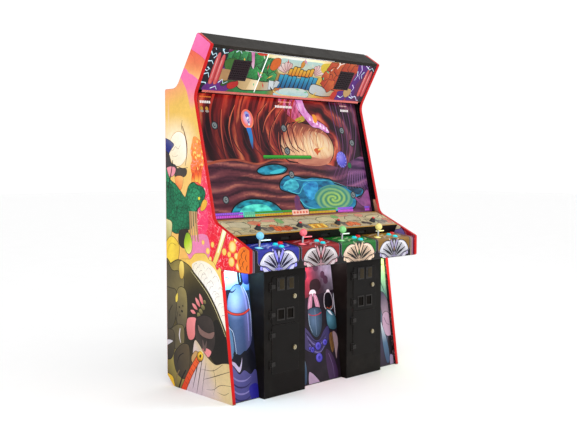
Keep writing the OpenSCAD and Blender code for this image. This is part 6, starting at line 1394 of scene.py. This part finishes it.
m_door = door("door_steel"); m_amber = amber()
USE = {"edge_trims": m_trim, "side_panel_left": m_side, "side_panel_right": m_side, "marquee_panel": m_head, "roof_panel": m_roof, "base_panel": m_raw, "back_panel": m_dark, "service_door": m_dark,
       "kick_panel": m_dark, "coin_towers": m_tower, "control_deck": m_black, "button_housings": housings(), "joystick_bases": bases(), "monitor": m_bezel, "monitor_bezel": m_bezel,
       "marquee_retainer": m_ret, "speakers": speaker(), "instruction_shelf": shelf_body(), "lamp_strips": lamps(), "cash_boxes": m_steel, "game_computer": m_grey, "hinges_and_brackets": brackets(),
       "power_inlet": m_black, "transport_wheels": m_rubber}
for n, o in nodes.items():
    if n in USE: m = USE[n]
    elif "door" in n: m = m_door
    elif "lock" in n: m = m_lock
    elif n.startswith("reject"): m = m_amber
    elif n.startswith("gimbal"): m = m_steel
    elif n.startswith("joystick_"): m = stick(int(n[-1]) - 1)
    elif n.startswith("start"): m = m_start
    elif n.startswith("button_"): m = m_red if n.endswith("c") else m_cyan
    else: m = m_black
    paint_on(o, m)

# ------------------------------------------------------------------ floor, light, camera
sc = bpy.context.scene
sc.view_settings.view_transform = "Standard"
fl = bpy.data.meshes.new("floor"); R = 30.0
fl.from_pydata([(-R, -R, 0), (R, -R, 0), (R, R, 0), (-R, R, 0)], [], [(0, 1, 2, 3)]); fl.update()
floor = bpy.data.objects.new("floor", fl); sc.collection.objects.link(floor)
MF = Mat("pale_floor"); MF.set(color=MF.mix(MF.noise(3.0, 3.0), (0.93, 0.93, 0.93, 1), (0.96, 0.96, 0.96, 1)), rough=0.8, spec=0.1); fl.materials.append(MF.m)
floor.location = (0, 0, -0.0002)

w = bpy.data.worlds.new("studio"); sc.world = w; w.use_nodes = True
bg = w.node_tree.nodes["Background"]; bg.inputs[0].default_value = (1.0, 1.0, 1.0, 1); bg.inputs[1].default_value = 1.04


def area(name, loc, target, size, power, col=(1, 1, 1), size_y=None):
    L = bpy.data.lights.new(name, "AREA"); L.energy = power; L.color = col; L.size = size
    if size_y: L.shape = "RECTANGLE"; L.size_y = size_y
    o = bpy.data.objects.new(name, L); o.location = loc
    o.rotation_euler = (Vector(target) - Vector(loc)).to_track_quat("-Z", "Y").to_euler()
    sc.collection.objects.link(o); return o


area("key", (-3.2, -3.6, 3.4), (0, 0, 0.9), 2.4, 60)
area("fill", (3.4, -3.0, 2.2), (0, 0, 0.9), 2.4, 24)
area("under_left", (-0.545, -0.20, 0.676), (-0.545, -0.145, 0.40), 0.12, 1.1, (0.45, 0.85, 1.0), 0.05)
area("under_middle_a", (-0.09, -0.20, 0.676), (-0.09, -0.145, 0.40), 0.13, 0.55, (1.0, 0.28, 0.36), 0.05)
area("under_middle_b", (0.08, -0.20, 0.676), (0.08, -0.145, 0.40), 0.13, 0.35, (1.0, 0.9, 0.95), 0.05)
area("under_right", (0.545, -0.20, 0.676), (0.545, -0.145, 0.40), 0.12, 0.9, (0.85, 1.0, 0.6), 0.05)

cam = bpy.data.cameras.new("cam"); cam.sensor_width = 36; cam.lens = 827.393 / 577 * 36; cam.clip_end = 200
co = bpy.data.objects.new("camera", cam); co.location = (-3.2423, -3.4232, 1.2130); co.rotation_euler = (math.radians(90 - 3.5487), 0, math.radians(-42.893))
sc.collection.objects.link(co); sc.camera = co
